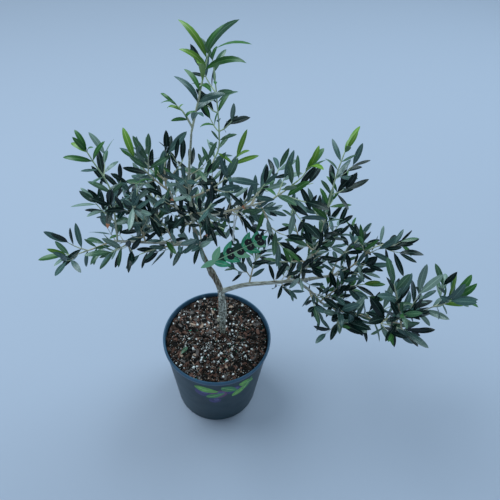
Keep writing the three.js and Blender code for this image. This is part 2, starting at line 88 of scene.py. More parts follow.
# Masses of foliage: [limb, share up it, seed, leaf length, longest twig, legs of the stem, its shoots],
# where a shoot is [share up the stem, scale of its leaves, legs]
MASSES = {
    "top": ("trunk", 1, 68, 44, 0, [[84, 30, 76], [34, 20, 77]], [
        (0.06, 0.5, [[26, 185, 66], [16, 180, 50]]),
    ]),
    "back_top": ("trunk", 0.8, 73, 34, 26,
        [[40, 45, 20], [22, 45, 48], [32, 48, 72], [84, 150, 86], [46, 180, 84]], []),
    "centre_up": ("trunk", 0.75, 15, 44, 30, [[31, 350, 38], [41, 355, 44], [52, 350, 66]], []),
    "centre_front_up": ("trunk", 0.7, 25, 38, 34, [[34, 300, 30], [34, 310, 46], [28, 320, 60]], []),
    "centre_middle": ("upper_right_bough", 0.42, 60, 38, 40, [[32, 350, 34], [34, 10, 44], [26, 20, 60]], []),
    "upper_left": ("upper_left_bough", 1, 6, 40, 40, [[40, 172, 42], [40, 170, 52]], [
        (0.1, 1, [[34, 100, 66], [26, 60, 66]]),
    ]),
    "left_up": ("left_bough", 0.95, 68, 38, 36,
        [[95, 10, 86], [36, 180, 84], [46, 180, 70], [18, 180, 72]], []),
    "left_far": ("left_bough", 1, 38, 38, 26, [[28, 200, -16], [38, 203, -10], [18, 200, 14]], []),
    "left_middle": ("left_bough", 0.62, 49, 38, 44, [[57, 178, 80], [32, 0, 88], [34, 0, 76]], []),
    "left_inner": ("left_bough", 0.28, 68, 38, 40, [[44, 200, 72], [36, 190, 66]], []),
    "left_low": ("trunk", 0.53, 67, 38, 40, [[48, 200, 16], [42, 196, -8], [20, 190, -22]], []),
    "left_front": ("left_bough", 0.8, 5, 38, 30, [[26, 255, 26], [26, 235, 14]], []),
    "left_back": ("left_bough", 0.45, 15, 37, 44, [[46, 100, 24], [46, 120, 36], [24, 130, 50]], []),
    "centre_front": ("trunk", 0.57, 54, 34, 24, [[44, 285, 26], [34, 280, 46]], []),
    "centre_back": ("trunk", 0.5, 51, 37, 44, [[50, 100, 22], [46, 90, 30], [34, 95, 50]], []),
    "upper_right": ("upper_right_bough", 1, 2, 42, 34, [[55, 8, 45], [34, 8, 58]], [
        (0.2, 1, [[28, 340, 4], [24, 345, -4]]),
    ]),
    "right_hanging": ("upper_right_bough", 0.86, 75, 36, 26,
        [[26, 305, -30], [40, 330, -62], [24, 320, -30]], []),
    "upper_right_back": ("upper_right_bough", 0.74, 33, 37, 34,
        [[40, 70, 2], [36, 50, 10], [24, 60, 30]], []),
    "right_inner": ("right_bough", 0.34, 11, 34, 24, [[24, 80, 34], [24, 70, 50], [24, 60, 72]], []),
    "right_centre": ("right_bough", 0.74, 78, 34, 30, [[30, 40, 30], [34, 30, 24], [26, 20, 50]], []),
    "right_spur": ("right_back_bough", 0.5, 78, 34, 28, [[26, 210, 30], [30, 190, 2], [22, 180, 0]], []),
    "back_right": ("right_back_bough", 1, 68, 38, 34,
        [[30, 50, 84], [65, 50, 88], [46, 50, 86], [44, 50, 78], [12, 50, 58]], []),
    "back_right_inner": ("right_back_bough", 0.78, 12, 36, 38,
        [[36, 150, 26], [36, 130, 54], [20, 120, 60]], []),
    "back_right_low": ("right_back_bough", 0.62, 74, 36, 36, [[36, 50, 0], [36, 60, 4], [26, 50, 30]], []),
    "middle_right": ("right_middle_bough", 1, 67, 36, 26,
        [[34, 15, 52], [24, 15, 62], [38, 18, 16], [30, 18, -24]], []),
    "middle_right_back": ("right_middle_bough", 0.55, 65, 35, 34,
        [[34, 66, 26], [40, 40, 30], [26, 40, 44]], []),
    "low_right": ("right_low_bough", 1, 68, 38, 40,
        [[44, 337, 16], [29, 336, -2], [26, 336, 14], [22, 335, 10]], [
        (0.97, 1, [[48, 150, 69], [40, 150, 66], [22, 150, 64]]),
        (0.6, 1, [[57, 18, 10], [34, 16, -3], [46, 16, 28], [18, 16, 48]]),
    ]),
    "low_right_inner": ("right_low_bough", 0.6, 67, 36, 30, [[34, 30, 30], [34, 20, 6], [26, 0, 20]], []),
    "low_right_front": ("right_low_bough", 0.85, 41, 38, 34, [[26, 310, 4], [32, 335, 2], [24, 340, 10]], []),
    "right_front": ("right_low_bough", 0.3, 21, 36, 24, [[32, 280, 12], [26, 270, 32]], []),
}

# Growth of stems, side twigs and pairs of leaves
GAP = 0.3
LIMB_STEPS = 3
STEM_STEPS = 2
TWIG_STEPS = 1
PAIR_SPACING = 32
BARE_ROOT = 14
TWIG_BARE_SHARE = 0.8
BARE_TIP = 3
TIP_PAIR_IN = 1
PAIR_TURN = 90
TURN_JITTER = 34
LEAF_SPREAD = (38, 62)
TIP_SPREAD = 22
LEAF_SIZE = (0.9, 1.3)
LEAF_ASPECT = 0.29
LEAF_THICKNESS = 1
TWIG_CHANCE = 0.4
TWIG_REACH = (0.9, 1.7)
TWIG_SPREAD = 48
TWIG_LIFT = 0.35
TWIG_AGE = 0.8
LAST_TWIG = 30
STEM_RADII = (1.9, 1.3)
TWIG_RADII = (1.5, 1.15)
CLEARANCE = 1.2
SHORT_LEAF = 0.7
LOWEST_LEAF = POT_HEIGHT + 8
# Shares of a leaf and of a twig at which their room is checked
LEAF_CHECKS = np.array([0.28, 0.5, 0.75, 1])
TWIG_CHECKS = (0.4, 0.6, 0.8, 1)
SPRIG_CHECKS = (0.5, 1)
# Share of a stem past which its leaves are those of its tip
TIP_FROM = 0.6

# Finer growth, where there is room: leaf pairs between those pairs, and sprigs, which are short side
# twigs in the leaf axils and along the boughs
FINE_SEED = 977
FINE_LEAF = (0.8, 1.15)
FINE_TIP = 4
SPRIG_CHANCE = 0.3
SPRIG_CHANCES = {
    "low_right_front": 0.9, "low_right_inner": 0.9, "low_right": 0.22, "right_centre": 0.6,
    "right_spur": 0.6, "back_right_low": 0.3, "middle_right_back": 0.4, "middle_right": 0.3,
    "upper_left": 0.45, "left_far": 0.1, "left_front": 0, "left_up": 0.15, "left_inner": 0.2,
    "left_low": 0.2, "back_right_inner": 0, "back_right": 0.2, "upper_right_back": 0, "upper_right": 0,
    "right_hanging": 0.2, "right_inner": 0.5, "right_front": 0, "centre_up": 0, "centre_middle": 0,
    "back_top": 0,
}
# Share of the finer leaf pairs that grow, where a mass is more open
PAIR_CHANCES = {
    "centre_up": 0.5, "upper_right": 0.3, "upper_right_back": 0.3, "right_hanging": 0.5, "left_up": 0.6,
    "back_right": 0.7, "low_right": 0.75,
}
FINE_SCALES = {"low_right": 1.1, "low_right_inner": 1.15, "low_right_front": 1.3}
LOWEST_TIPS = {"low_right": 330, "low_right_front": 325}
# Sprigs: their reach, spread, leaves and radii, the fewest leaves and the steepest fall
SPRIG_REACH = (22, 50)
SPRIG_SPREAD = (40, 65)
SPRIG_LEAF = (0.72, 1.08)
SPRIG_RADII = (0.95, 0.6)
SPRIG_LEAST = 3
SPRIG_DROOP = -0.7
SPRIG_TURN = 25
SPRIG_AGE = 0.9
# Lengths along them: between pairs, free of leaves at the root, and from the tip to the last pair
SPRIG_SPACING = 14
SPRIG_BARE = 4
SPRIG_FOOT = 6
SPRIG_TIP = 0.5
SPRIG_TIP_SPREAD = TIP_SPREAD + 6
# Length at a stem's tip that bears no sprigs
SPRIG_END = 22
# How far the finer leaves keep apart, and where along them that is measured
APART = 7
CROWD_SHARES = np.array([0.35, 0.65, 0.95])
# Sprigs that grow on the boughs themselves
BOUGH_SPACING = 14
BOUGH_SEED = 400
BOUGH_AGE = 0.4
USUAL_LEAF = 36
# Shares of each limb between which it bears sprigs
LEAFY_SPANS = {
    "trunk": (0.62, 0.86), "left_bough": (0.4, 1), "upper_left_bough": (0.2, 1),
    "upper_right_bough": (0.45, 0.8), "right_bough": (0.6, 1), "right_back_bough": (0.2, 1),
    "right_middle_bough": (0.1, 1), "right_low_bough": (0.35, 1),
}
# Longer twigs that hang from a bough: [share along it, heading, climb, length]
HANGING_AGE = 0.3
HANGING_DROOP = -1
HANGING_TWIGS = {
    "upper_right_bough": [
        (0.36, 40, -36, 58), (0.5, 60, -42, 62), (0.62, 35, -38, 50), (0.42, 70, -72, 64),
        (0.28, 50, -66, 70), (0.54, 30, -64, 66), (0.2, 80, -62, 56), (0.48, 110, -60, 70),
    ],
}
# How the leaves of some masses differ: longer, slenderer, swept, arched or broader than the rest
LONG_TIPS = {"top": 1.42, "low_right": 1.25, "middle_right": 1.2, "upper_right": 1.15}
SLENDER = {"top": 0.72}
SWEEPS = {"top": 0.26, "upper_right": 0.08, "left_up": 0.06}
ARCHING = {"top": 0.95, "back_top": 0.2, "upper_right": 0.15, "left_up": 0.15}
BROAD = {
    "low_right": 1.1, "low_right_inner": 1.12, "low_right_front": 1.22, "centre_up": 0.82,
    "centre_front_up": 0.86,
}
GREEN_STEMS = ("top", "back_top", "upper_right", "back_right", "left_up")
# How far leaves may pass the tree's own reach, and which way they turn
OVER_REACH = 8
SUNNY_SIDE = np.array([0, -0.7, 0])
BEARER_SHARE = 0.6

# Camera's place, and how far leaves keep out of its sight of the tag's string and card
CAMERA_PLACE = np.array([56.9, -587.1, 1126.2])
STRING_SIGHT = 4
CARD_SIGHT = 9
SIGHT_SHARES = np.linspace(0.1, 1, 8)
SIGHT_STEPS = np.linspace(0, 1, 16)

# Hang tag
TAG_LENGTH = 128
TAG_WIDTH = 44
TAG_THICKNESS = 0.8
TAG_HOLE = (6, 16, 3)
TAG_HANG = 76
TAG_SHARE = 0.56
TAG_TILT = 30
TAG_LEAN = 24
TAG_HEADING = 272
TAG_STANDOFF = 9
TAG_ROOM = 5
CARD_SPAN = (-54, 46)
STRING_RADIUS = 0.8
STRING_DROP = 5
KNOT_OUT = 5
KNOT_RISE = 7
STRAND_SPREAD = 3


def aim(heading, climb):
    h, c = math.radians(heading), math.radians(climb)
    return np.array([math.cos(h) * math.cos(c), math.sin(h) * math.cos(c), math.sin(c)])


def unit(v):
    return v / np.linalg.norm(v)


def walk(start, legs):
    joints = [np.array(start, float)]
    for length, heading, climb in legs:
        joints.append(joints[-1] + length * aim(heading, climb))
    return joints


def across(direction):
    """Two directions square to a direction and to each other."""
    guide = np.array([1.0, 0, 0]) if abs(direction[2]) > 0.9 else UP
    side = unit(np.cross(direction, guide))
    return side, np.cross(side, direction)


def branch_off(direction, spread, turn):
    side, other = across(direction)
    s, t = math.radians(spread), math.radians(turn)
    return direction * math.cos(s) + side * math.sin(s) * math.cos(t) + other * math.sin(s) * math.sin(t)


def smooth_curve(joints, share):
    """The point at a share of a smooth curve through joints."""
    p = [2 * joints[0] - joints[1], *joints, 2 * joints[-1] - joints[-2]]
    spans = len(joints) - 1
    i = min(int(share * spans), spans - 1)
    t = share * spans - i
    before, after = (p[i + 2] - p[i]) / 2, (p[i + 3] - p[i + 1]) / 2
    return (
        (2 * t**3 - 3 * t**2 + 1) * p[i + 1] + (t**3 - 2 * t**2 + t) * before
        + (3 * t**2 - 2 * t**3) * p[i + 2] + (t**3 - t**2) * after
    )


class Line:
    """A smooth line through joints, measured along straight steps."""

    def __init__(self, joints, steps):
        self.joints = joints
        count = (len(joints) - 1) * steps
        self.points = np.array([smooth_curve(joints, i / count) for i in range(count + 1)])
        lengths = np.linalg.norm(np.diff(self.points, axis=0), axis=1)
        self.marks = np.concatenate([[0], np.cumsum(lengths)])
        self.length = float(self.marks[-1])

    def at(self, distance):
        i = 0
        while i < len(self.points) - 2 and self.marks[i + 1] <= distance:
            i += 1
        direction = unit(self.points[i + 1] - self.points[i])
        return self.points[i] + direction * (distance - self.marks[i]), direction

    def part_way(self, share):
        """The point at a share of the length."""
        return self.at(share * self.length)[0]


def stream(seed):
    """Repeatable numbers from 0 to 1."""
    state = [seed]

    def draw():
        state[0] = (1664525 * state[0] + 1013904223) % 4294967296
        return state[0] / 4294967296

    return draw


def between(pair, share):
    return pair[0] + (pair[1] - pair[0]) * share


limbs = {}
for name, (parent, share, radii, legs) in LIMBS.items():
    start = limbs[parent]["line"].part_way(share) if parent else TRUNK_FOOT
    limbs[name] = {"name": name, "radii": radii, "line": Line(walk(start, legs), LIMB_STEPS)}

masses = []
for name, (limb, share, seed, leaf, twig, legs, shoots) in MASSES.items():
    stem = Line(walk(limbs[limb]["line"].part_way(share), legs), STEM_STEPS)
    lines = [stem] + [Line(walk(stem.part_way(share), legs), STEM_STEPS) for share, scale, legs in shoots]
    scales = [1] + [scale for share, scale, legs in shoots]
    mass = {"name": name, "seed": seed, "leaf": leaf, "twig": twig, "lines": lines, "scales": scales}
    masses.append(dict(mass, place=len(masses)))


def tag_frame():
    """Where the tag hangs: axes along the card, over it and out of its printed face, and its hole."""
    line = limbs["upper_right_bough"]["line"]
    point, direction = line.at(TAG_SHARE * line.length)
    out = aim(TAG_HEADING, TAG_LEAN)
    level = unit(np.cross(UP, out))
    rise = np.cross(out, level)
    tilt = math.radians(TAG_TILT)
    along = level * math.cos(tilt) + rise * math.sin(tilt)
    hole = point - TAG_HANG * UP + TAG_STANDOFF * out
    over = np.cross(out, along)
    return {"point": point, "bough": direction, "along": along, "over": over, "out": out, "hole": hole}


tag = tag_frame()
tag_axes = np.array([tag["along"], tag["over"], tag["out"]])


def steps_of(lines, values):
    """Starts and ends of every straight step of some lines, and each step's value, one for each line."""
    starts = np.concatenate([line.points[:-1] for line in lines])
    ends = np.concatenate([line.points[1:] for line in lines])
    return starts, ends, np.concatenate([[v] * (len(line.points) - 1) for line, v in zip(lines, values)])


limb_lines = [limb["line"] for limb in limbs.values()]
limb_from, limb_to, limb_thick = steps_of(limb_lines, [limb["radii"][0] for limb in limbs.values()])
stem_lines = [line for mass in masses for line in mass["lines"]]
bearers = [mass["place"] for mass in masses for line in mass["lines"]]
stem_from, stem_to, stem_of = steps_of(stem_lines, bearers)


def distances(starts, ends, points):
    run = ends - starts
    share = np.clip(((points[:, None] - starts[None]) * run).sum(-1) / (run * run).sum(-1), 0, 1)
    return np.linalg.norm(points[:, None] - (starts + share[..., None] * run), axis=-1)


reach_from = np.array(cad_box[0]) / MM - OVER_REACH
reach_to = np.array(cad_box[1]) / MM + OVER_REACH


def in_open(points, radii):
    """True where balls clear the pot, the tag and every limb, within the tree's reach."""
    if (points[:, 2] - radii < LOWEST_LEAF).any() or (points < reach_from).any() or (points > reach_to).any():
        return False
    on_tag = (points - tag["hole"]) @ tag_axes.T
    over_end = np.abs(on_tag[:, 0] + TAG_HOLE[0]) - TAG_LENGTH / 2
    over_side = np.abs(on_tag[:, 1] + TAG_HOLE[1]) - TAG_WIDTH / 2
    if (np.maximum(np.maximum(over_end, over_side), np.abs(on_tag[:, 2]) - TAG_ROOM) < radii).any():
        return False
    return not (distances(limb_from, limb_to, points) < limb_thick + radii[:, None] + CLEARANCE).any()


def in_space(mass, points, radii):
    """True where balls are in the open and nearer to their own mass's stems than to any other's."""
    if not in_open(points, radii):
        return False
    reach = distances(stem_from, stem_to, points)
    mine = stem_of == mass["place"]
    own = reach[:, mine].min(1)
    return not (reach[:, ~mine].min(1) < own + 2 * radii + CLEARANCE).any()


def leaf_face(direction, bearer):
    """The way that a leaf's upper face looks: out from its twig, up, and to the sunny side."""
    lit = BEARER_SHARE * bearer + UP + SUNNY_SIDE
    return unit(lit - direction * (direction @ lit))


class Crowd:
    """Spots along every leaf so far."""

    def __init__(self, room):
        self.spots = np.zeros((room, 3))
        self.count = 0

    def near(self, spots, apart):
        return (np.linalg.norm(self.spots[:self.count, None] - spots, axis=-1) < apart).any()

    def add(self, spots):
        self.spots[self.count:self.count + len(spots)] = spots
        self.count += len(spots)


crowd = Crowd(30000)


def try_leaf(mass, spray, point, direction, bearer, length, age, apart=0):
    """A leaf without room is tried again shorter, and then left out. A fine leaf keeps apart from others."""
    for size in (length, length * SHORT_LEAF):
        if apart and point[2] + size * direction[2] < LOWEST_TIPS.get(mass["name"], 0):
            continue
        radii = (size * LEAF_ASPECT / 2) * np.minimum(1, 2 - 2 * LEAF_CHECKS) + LEAF_THICKNESS / 2
        places = point + LEAF_CHECKS[:, None] * size * direction
        if not (in_open(places, radii) if apart else in_space(mass, places, radii)):
            continue
        if age > TIP_FROM:
            size *= LONG_TIPS.get(mass["name"], 1)
        spots = point + CROWD_SHARES[:, None] * size * direction
        if apart and crowd.near(spots, apart):
            continue
        crowd.add(spots)
        leaf = {"root": point, "direction": direction, "face": leaf_face(direction, bearer), "length": size}
        mass["leaves"].append(dict(leaf, age=age, spray=spray))
        return True
    return False


def short_line(point, direction, length):
    """A side twig's line, bending up from its middle."""
    end = unit(direction + UP * TWIG_LIFT)
    middle = point + direction * length / 2
    return Line([point, middle, middle + end * length / 2], TWIG_STEPS)


def grow_twig(mass, point, direction, length, scale, age):
    line = short_line(point, direction, length)
    places = np.array([line.part_way(share) for share in TWIG_CHECKS])
    if not in_space(mass, places, np.full(len(places), TWIG_RADII[0])):
        return False
    spray = {"line": line, "radii": TWIG_RADII, "level": 1, "age": age, "scale": scale}
    mass["sprays"].append(spray)
    dress(mass, spray)
    return True


def dress(mass, spray):
    """Leaf pairs and side twigs along a line, and a pair at its tip."""
    line, scale, draw = spray["line"], spray["scale"], mass["draw"]
    branching = spray["level"] == 0
    turn = 360 * draw()
    s = BARE_ROOT if branching else BARE_ROOT * TWIG_BARE_SHARE
    spray["pairs"] = []
    while s < line.length - BARE_TIP:
        point, direction = line.at(s)
        turn += PAIR_TURN + TURN_JITTER * (draw() - 0.5)
        spray["pairs"].append((s, turn))
        age = max(spray["age"], s / line.length)
        for opposite in (0, 180):
            chance = draw()
            spread = between(LEAF_SPREAD, draw())
            size = between(LEAF_SIZE, draw()) * mass["leaf"] * scale
            reach = between(TWIG_REACH, draw()) * mass["twig"]
            room = branching and mass["twig"] > 0 and chance < TWIG_CHANCE and s < line.length - LAST_TWIG
            towards = branch_off(direction, TWIG_SPREAD if room else spread, turn + opposite)
            if room and grow_twig(mass, point, towards, reach, scale, age * TWIG_AGE):
                continue
            try_leaf(mass, spray, point, towards, direction, size, age)
        s += PAIR_SPACING
    point, direction = line.at(line.length - TIP_PAIR_IN)
    turn += PAIR_TURN
    for opposite in (0, 180):
        size = between(LEAF_SIZE, draw()) * mass["leaf"] * scale
        try_leaf(mass, spray, point, branch_off(direction, TIP_SPREAD, turn + opposite), direction, size, 1)


def grow_sprig(mass, scale, point, direction, age, reach=SPRIG_REACH, droop=SPRIG_DROOP):
    """A short side twig with close pairs of leaves, left out where too few of them find room."""
    draw, usual = mass["fine"], mass["leaf"] * scale * FINE_SCALES.get(mass["name"], 1)
    line = short_line(point, direction, between(reach, draw()) * min(1, mass["leaf"] / USUAL_LEAF))
    places = np.array([line.part_way(share) for share in SPRIG_CHECKS])
    if direction[2] < droop or not in_open(places, np.full(len(places), SPRIG_RADII[0])):
        return
    sprig = {"line": line, "radii": SPRIG_RADII, "level": 2, "age": age, "scale": scale, "pairs": []}
    before, kept = crowd.count, len(mass["leaves"])
    turn = 360 * draw()
    pairs = max(1, round((line.length - SPRIG_FOOT) / SPRIG_SPACING))
    for k in range(pairs + 1):
        s = line.length - SPRIG_TIP - (pairs - k) * SPRIG_SPACING
        if s < SPRIG_BARE:
            continue
        spot, heading = line.at(s)
        sprig["pairs"].append((s, turn))
        turn += PAIR_TURN + TURN_JITTER * (draw() - 0.5)
        for opposite in (0, 180):
            size = between(SPRIG_LEAF, draw()) * usual
            spread = SPRIG_TIP_SPREAD if k == pairs else between(LEAF_SPREAD, draw())
            towards = branch_off(heading, spread, turn + opposite)
            try_leaf(mass, sprig, spot, towards, heading, size, age, APART)
    if len(mass["leaves"]) < kept + SPRIG_LEAST:
        del mass["leaves"][kept:]
        crowd.count = before
        return
    mass["sprays"].append(sprig)


def refine(mass, spray):
    """Leaf pairs halfway between a spray's own, and sprigs beside both."""
    draw, line = mass["fine"], spray["line"]
    usual = mass["leaf"] * spray["scale"] * FINE_SCALES.get(mass["name"], 1)
    pair_chance = PAIR_CHANCES.get(mass["name"], 1)
    sprig_chance = SPRIG_CHANCES.get(mass["name"], SPRIG_CHANCE) if mass["twig"] > 0 else 0
    marks = [(s, turn, False) for s, turn in spray["pairs"]]
    marks += [(s + PAIR_SPACING / 2, turn + PAIR_TURN / 2, True) for s, turn in spray["pairs"]]
    for s, turn, added in marks:
        if s > line.length - FINE_TIP:
            continue
        point, direction = line.at(s)
        age = max(spray["age"], s / line.length)
        for opposite in (0, 180):
            chance, spread, lean = draw(), between(LEAF_SPREAD, draw()), between(SPRIG_SPREAD, draw())
            size = between(FINE_LEAF, draw()) * usual
            if added and chance < pair_chance:
                towards = branch_off(direction, spread, turn + opposite)
                try_leaf(mass, spray, point, towards, direction, size, age, APART)
            if chance < sprig_chance and s < line.length - SPRIG_END:
                towards = branch_off(direction, lean, turn + opposite + SPRIG_TURN)
                grow_sprig(mass, spray["scale"], point, towards, age * SPRIG_AGE)


for mass in masses:
    mass.update(draw=stream(mass["seed"]), fine=stream(mass["seed"] + FINE_SEED), leaves=[], sprays=[])
    for line, scale in zip(mass["lines"], mass["scales"]):
        spray = {"line": line, "radii": STEM_RADII, "level": 0, "age": 0, "scale": scale}
        mass["sprays"].append(spray)
        dress(mass, spray)
for mass in masses:
    for spray in list(mass["sprays"]):
        refine(mass, spray)

bough_growth = []
for place, (name, (first, last)) in enumerate(LEAFY_SPANS.items()):
    line = limbs[name]["line"]
    growth = {"name": name, "leaf": USUAL_LEAF, "leaves": [], "sprays": [], "seed": BOUGH_SEED + place}
    growth.update(fine=stream(growth["seed"]), place=len(masses) + place, lines=[])
    draw, turn = growth["fine"], 0
    s = first * line.length
    while s < last * line.length - 2:
        point, direction = line.at(s)
        turn += PAIR_TURN + TURN_JITTER * (draw() - 0.5)
        for opposite in (0, 180):
            towards = branch_off(direction, between(SPRIG_SPREAD, draw()), turn + opposite)
            grow_sprig(growth, 1, point, towards, BOUGH_AGE * s / line.length)
        s += BOUGH_SPACING
    for share, heading, climb, length in HANGING_TWIGS.get(name, []):
        towards, reach = aim(heading, climb), (length, length)
        grow_sprig(growth, 1, line.part_way(share), towards, HANGING_AGE, reach, HANGING_DROOP)
    bough_growth.append(growth)


def hides(leaf, start, end, allowance):
    """True where a leaf stands between the camera and a straight run."""
    spots = leaf["root"] + SIGHT_SHARES[:, None] * leaf["length"] * leaf["direction"]
    places = start + SIGHT_STEPS[:, None] * (end - start)
    for spot in spots:
        sight = unit(spot - CAMERA_PLACE)
        reach = np.linalg.norm(spot - CAMERA_PLACE)
        along = (places - CAMERA_PLACE) @ sight
        off = np.linalg.norm(places - CAMERA_PLACE - along[:, None] * sight, axis=1)
        if (off[along > reach] < allowance + leaf["length"] * LEAF_ASPECT / 3).any():
            return True
    return False


card_ends = [tag["hole"] + x * tag["along"] - TAG_HOLE[1] * tag["over"] for x in CARD_SPAN]


def hides_tag(leaf):
    return hides(leaf, tag["hole"], tag["point"], STRING_SIGHT) or hides(leaf, *card_ends, CARD_SIGHT)


for growth in masses + bough_growth:
    growth["leaves"] = [leaf for leaf in growth["leaves"] if not hides_tag(leaf)]

# Meshes


def link(obj):
    bpy.context.scene.collection.objects.link(obj)
    return obj


class Build:
    """Collects closed shells, each with a material mark, into one mesh."""

    def __init__(self):
        self.corners = []
        self.faces = []
        self.marks = []
        self.count = 0

    def add(self, corners, faces, mark=0):
        corners = np.asarray(corners, float).reshape(-1, 3)
        self.corners.append(corners)
        self.faces += [tuple(self.count + v for v in face) for face in faces]
        self.marks += list(mark) if hasattr(mark, "__len__") else [mark] * len(faces)
        self.count += len(corners)

    def make(self, name, materials, smooth=True):
        mesh = bpy.data.meshes.new(name)
        mesh.from_pydata((np.concatenate(self.corners) * MM).tolist(), [], self.faces)
        for finish in materials:
            mesh.materials.append(finish)
        mesh.polygons.foreach_set("material_index", np.array(self.marks, np.int32))
        mesh.polygons.foreach_set("use_smooth", np.full(len(self.faces), smooth))
        mesh.update()
        return link(bpy.data.objects.new(name, mesh))


def creased(obj, degrees):
    """Keeps the edges sharper than an angle sharp under smooth shading."""
    obj.data.set_sharp_from_angle(angle=math.radians(degrees))


def applied(obj):
    """Bakes an object's modifiers into its mesh."""
    mesh = bpy.data.meshes.new_from_object(obj.evaluated_get(bpy.context.evaluated_depsgraph_get()))
    old = obj.data
    obj.modifiers.clear()
    obj.data = mesh
    bpy.data.meshes.remove(old)
    mesh.name = obj.name


def round_angles(sides):
    return np.linspace(0, 2 * math.pi, sides, endpoint=False)


def band(low, high, sides):
    """Faces between two rings of corners, each numbered from its first corner."""
    return [(low + k, high + k, high + (k + 1) % sides, low + (k + 1) % sides) for k in range(sides)]


def disc(radius, rings, sides):
    """A flat disc: a place in its middle, rings of places outwards, and its faces."""
    places = [(0.0, 0.0)]
    for i in range(1, rings + 1):
        reach = radius * i / rings
        places += [(reach * math.cos(a), reach * math.sin(a)) for a in round_angles(sides)]
    faces = [(0, 1 + k, 1 + (k + 1) % sides) for k in range(sides)]
    for low in range(1, 1 + (rings - 1) * sides, sides):
        faces += band(low, low + sides, sides)
    return np.array(places), faces


def tube(points, radii, sides):
    """A closed tube along points."""
    points = np.asarray(points, float)
    tangents = np.gradient(points, axis=0)
    tangents /= np.linalg.norm(tangents, axis=1)[:, None]
    side = across(tangents[0])[0]
    angles = round_angles(sides)
    corners = []
    for point, tangent, radius in zip(points, tangents, radii):
        side = unit(side - tangent * (side @ tangent))
        other = np.cross(tangent, side)
        corners.append(point + radius * (np.cos(angles)[:, None] * side + np.sin(angles)[:, None] * other))
    faces = [
        (i * sides + k, i * sides + (k + 1) % sides, (i + 1) * sides + (k + 1) % sides, (i + 1) * sides + k)
        for i in range(len(points) - 1)
        for k in range(sides)
    ]
    last = (len(points) - 1) * sides
    faces += [tuple(range(sides))[::-1], tuple(range(last, last + sides))]
    return np.concatenate(corners), faces


def lathe(profile, sides):
    """A closed turned solid: the profile runs from the axis to the axis, [radius, height]."""
    inner = profile[1:-1]
    corners = [[0, 0, profile[0][1]], [0, 0, profile[-1][1]]]
    corners += [[r * math.cos(a), r * math.sin(a), z] for r, z in inner for a in round_angles(sides)]
    faces = []
    for k in range(sides):
        following = (k + 1) % sides
        faces.append((0, 2 + following, 2 + k))
        for i in range(len(inner) - 1):
            low, high = 2 + i * sides, 2 + (i + 1) * sides
            faces.append((low + k, low + following, high + following, high + k))
        top = 2 + (len(inner) - 1) * sides
        faces.append((top + k, top + following, 1))
    return np.array(corners), faces


# Materials
NOISE_DETAIL = 6
ROUGHNESS_SCALE = 1.7


def material(name, colour, roughness=0.5, tones=None, scale=60, stretch=(1, 1, 1), bump=0, bump_scale=900,
             rough_swing=0.08, sheen=0, specular=0.5):
    """A finish whose roughness and relief come from noise, and whose colour is plain, or a ramp of tones."""
    finish = bpy.data.materials.new(name)
    finish.use_nodes = True
    nodes, links = finish.node_tree.nodes, finish.node_tree.links
    shader = nodes["Principled BSDF"]
    shader.inputs["Base Color"].default_value = (*colour, 1)
    shader.inputs["Roughness"].default_value = roughness
    shader.inputs["Specular IOR Level"].default_value = specular
    shader.inputs["Sheen Weight"].default_value = sheen
    finish.diffuse_color = (*colour, 1)
    place = nodes.new("ShaderNodeTexCoord")
    stretched = nodes.new("ShaderNodeMapping")
    stretched.inputs["Scale"].default_value = stretch
    links.new(place.outputs["Object"], stretched.inputs["Vector"])

    def noise_field(size):
        field = nodes.new("ShaderNodeTexNoise")
        field.inputs["Scale"].default_value = size
        field.inputs["Detail"].default_value = NOISE_DETAIL
        links.new(stretched.outputs["Vector"], field.inputs["Vector"])
        return field.outputs["Fac"]

    if tones:
        ramp = nodes.new("ShaderNodeValToRGB")
        while len(ramp.color_ramp.elements) < len(tones):
            ramp.color_ramp.elements.new(0.5)
        for element, (position, tone) in zip(ramp.color_ramp.elements, tones):
            element.position = position
            element.color = (*tone, 1)
        links.new(noise_field(scale), ramp.inputs["Fac"])
        links.new(ramp.outputs["Color"], shader.inputs["Base Color"])
    swing = nodes.new("ShaderNodeMapRange")
    swing.inputs["To Min"].default_value = roughness - rough_swing
    swing.inputs["To Max"].default_value = roughness + rough_swing
    links.new(noise_field(scale * ROUGHNESS_SCALE), swing.inputs["Value"])
    links.new(swing.outputs["Result"], shader.inputs["Roughness"])
    if bump:
        relief = nodes.new("ShaderNodeBump")
        relief.inputs["Strength"].default_value = 1
        relief.inputs["Distance"].default_value = bump * MM
        links.new(noise_field(bump_scale), relief.inputs["Height"])
        links.new(relief.outputs["Normal"], shader.inputs["Normal"])
    return finish


def two_tones(colour, dark, light, low=0.3, high=0.7):
    """A ramp from a darker to a lighter tone of one colour."""
    return [(low, tuple(c * dark for c in colour)), (high, tuple(min(1, c * light) for c in colour))]


WALL_COLOUR = (0.013, 0.040, 0.056)
# The rim's colour is the pot's own blue plastic, made lighter than the wall's tone as a painted highlight on
# the rolled rim
RIM_COLOUR_WITH_HIGHLIGHT = (0.040, 0.106, 0.182)
wall_tones = two_tones(WALL_COLOUR, 0.85, 1.25)
rim_tones_with_highlight = two_tones(RIM_COLOUR_WITH_HIGHLIGHT, 0.85, 1.3, high=0.75)
pot_wall = material("pot_wall_plastic", WALL_COLOUR, 0.4, wall_tones, scale=22, bump=0.05, specular=0.3)
pot_rim_highlighted = material("pot_rim_plastic_painted_highlight", RIM_COLOUR_WITH_HIGHLIGHT, 0.4, rim_tones_with_highlight, scale=30, bump=0.05, rough_swing=0.1)
MIX_TONES = [(0.3, (0.006, 0.005, 0.004)), (0.5, (0.014, 0.010, 0.008)), (0.72, (0.045, 0.030, 0.023))]
soil_mix = material(
    "potting_mix", MIX_TONES[1][1], 0.9, MIX_TONES, scale=260, bump=0.8, bump_scale=420, specular=0.2,
)
PERLITE_TONES = [(0.3, (0.84, 0.81, 0.80)), (0.7, (1.0, 0.98, 0.97))]
perlite = material(
    "perlite", (0.95, 0.93, 0.92), 0.9, PERLITE_TONES, scale=300, bump=0.35, bump_scale=1100, specular=0.3,
)


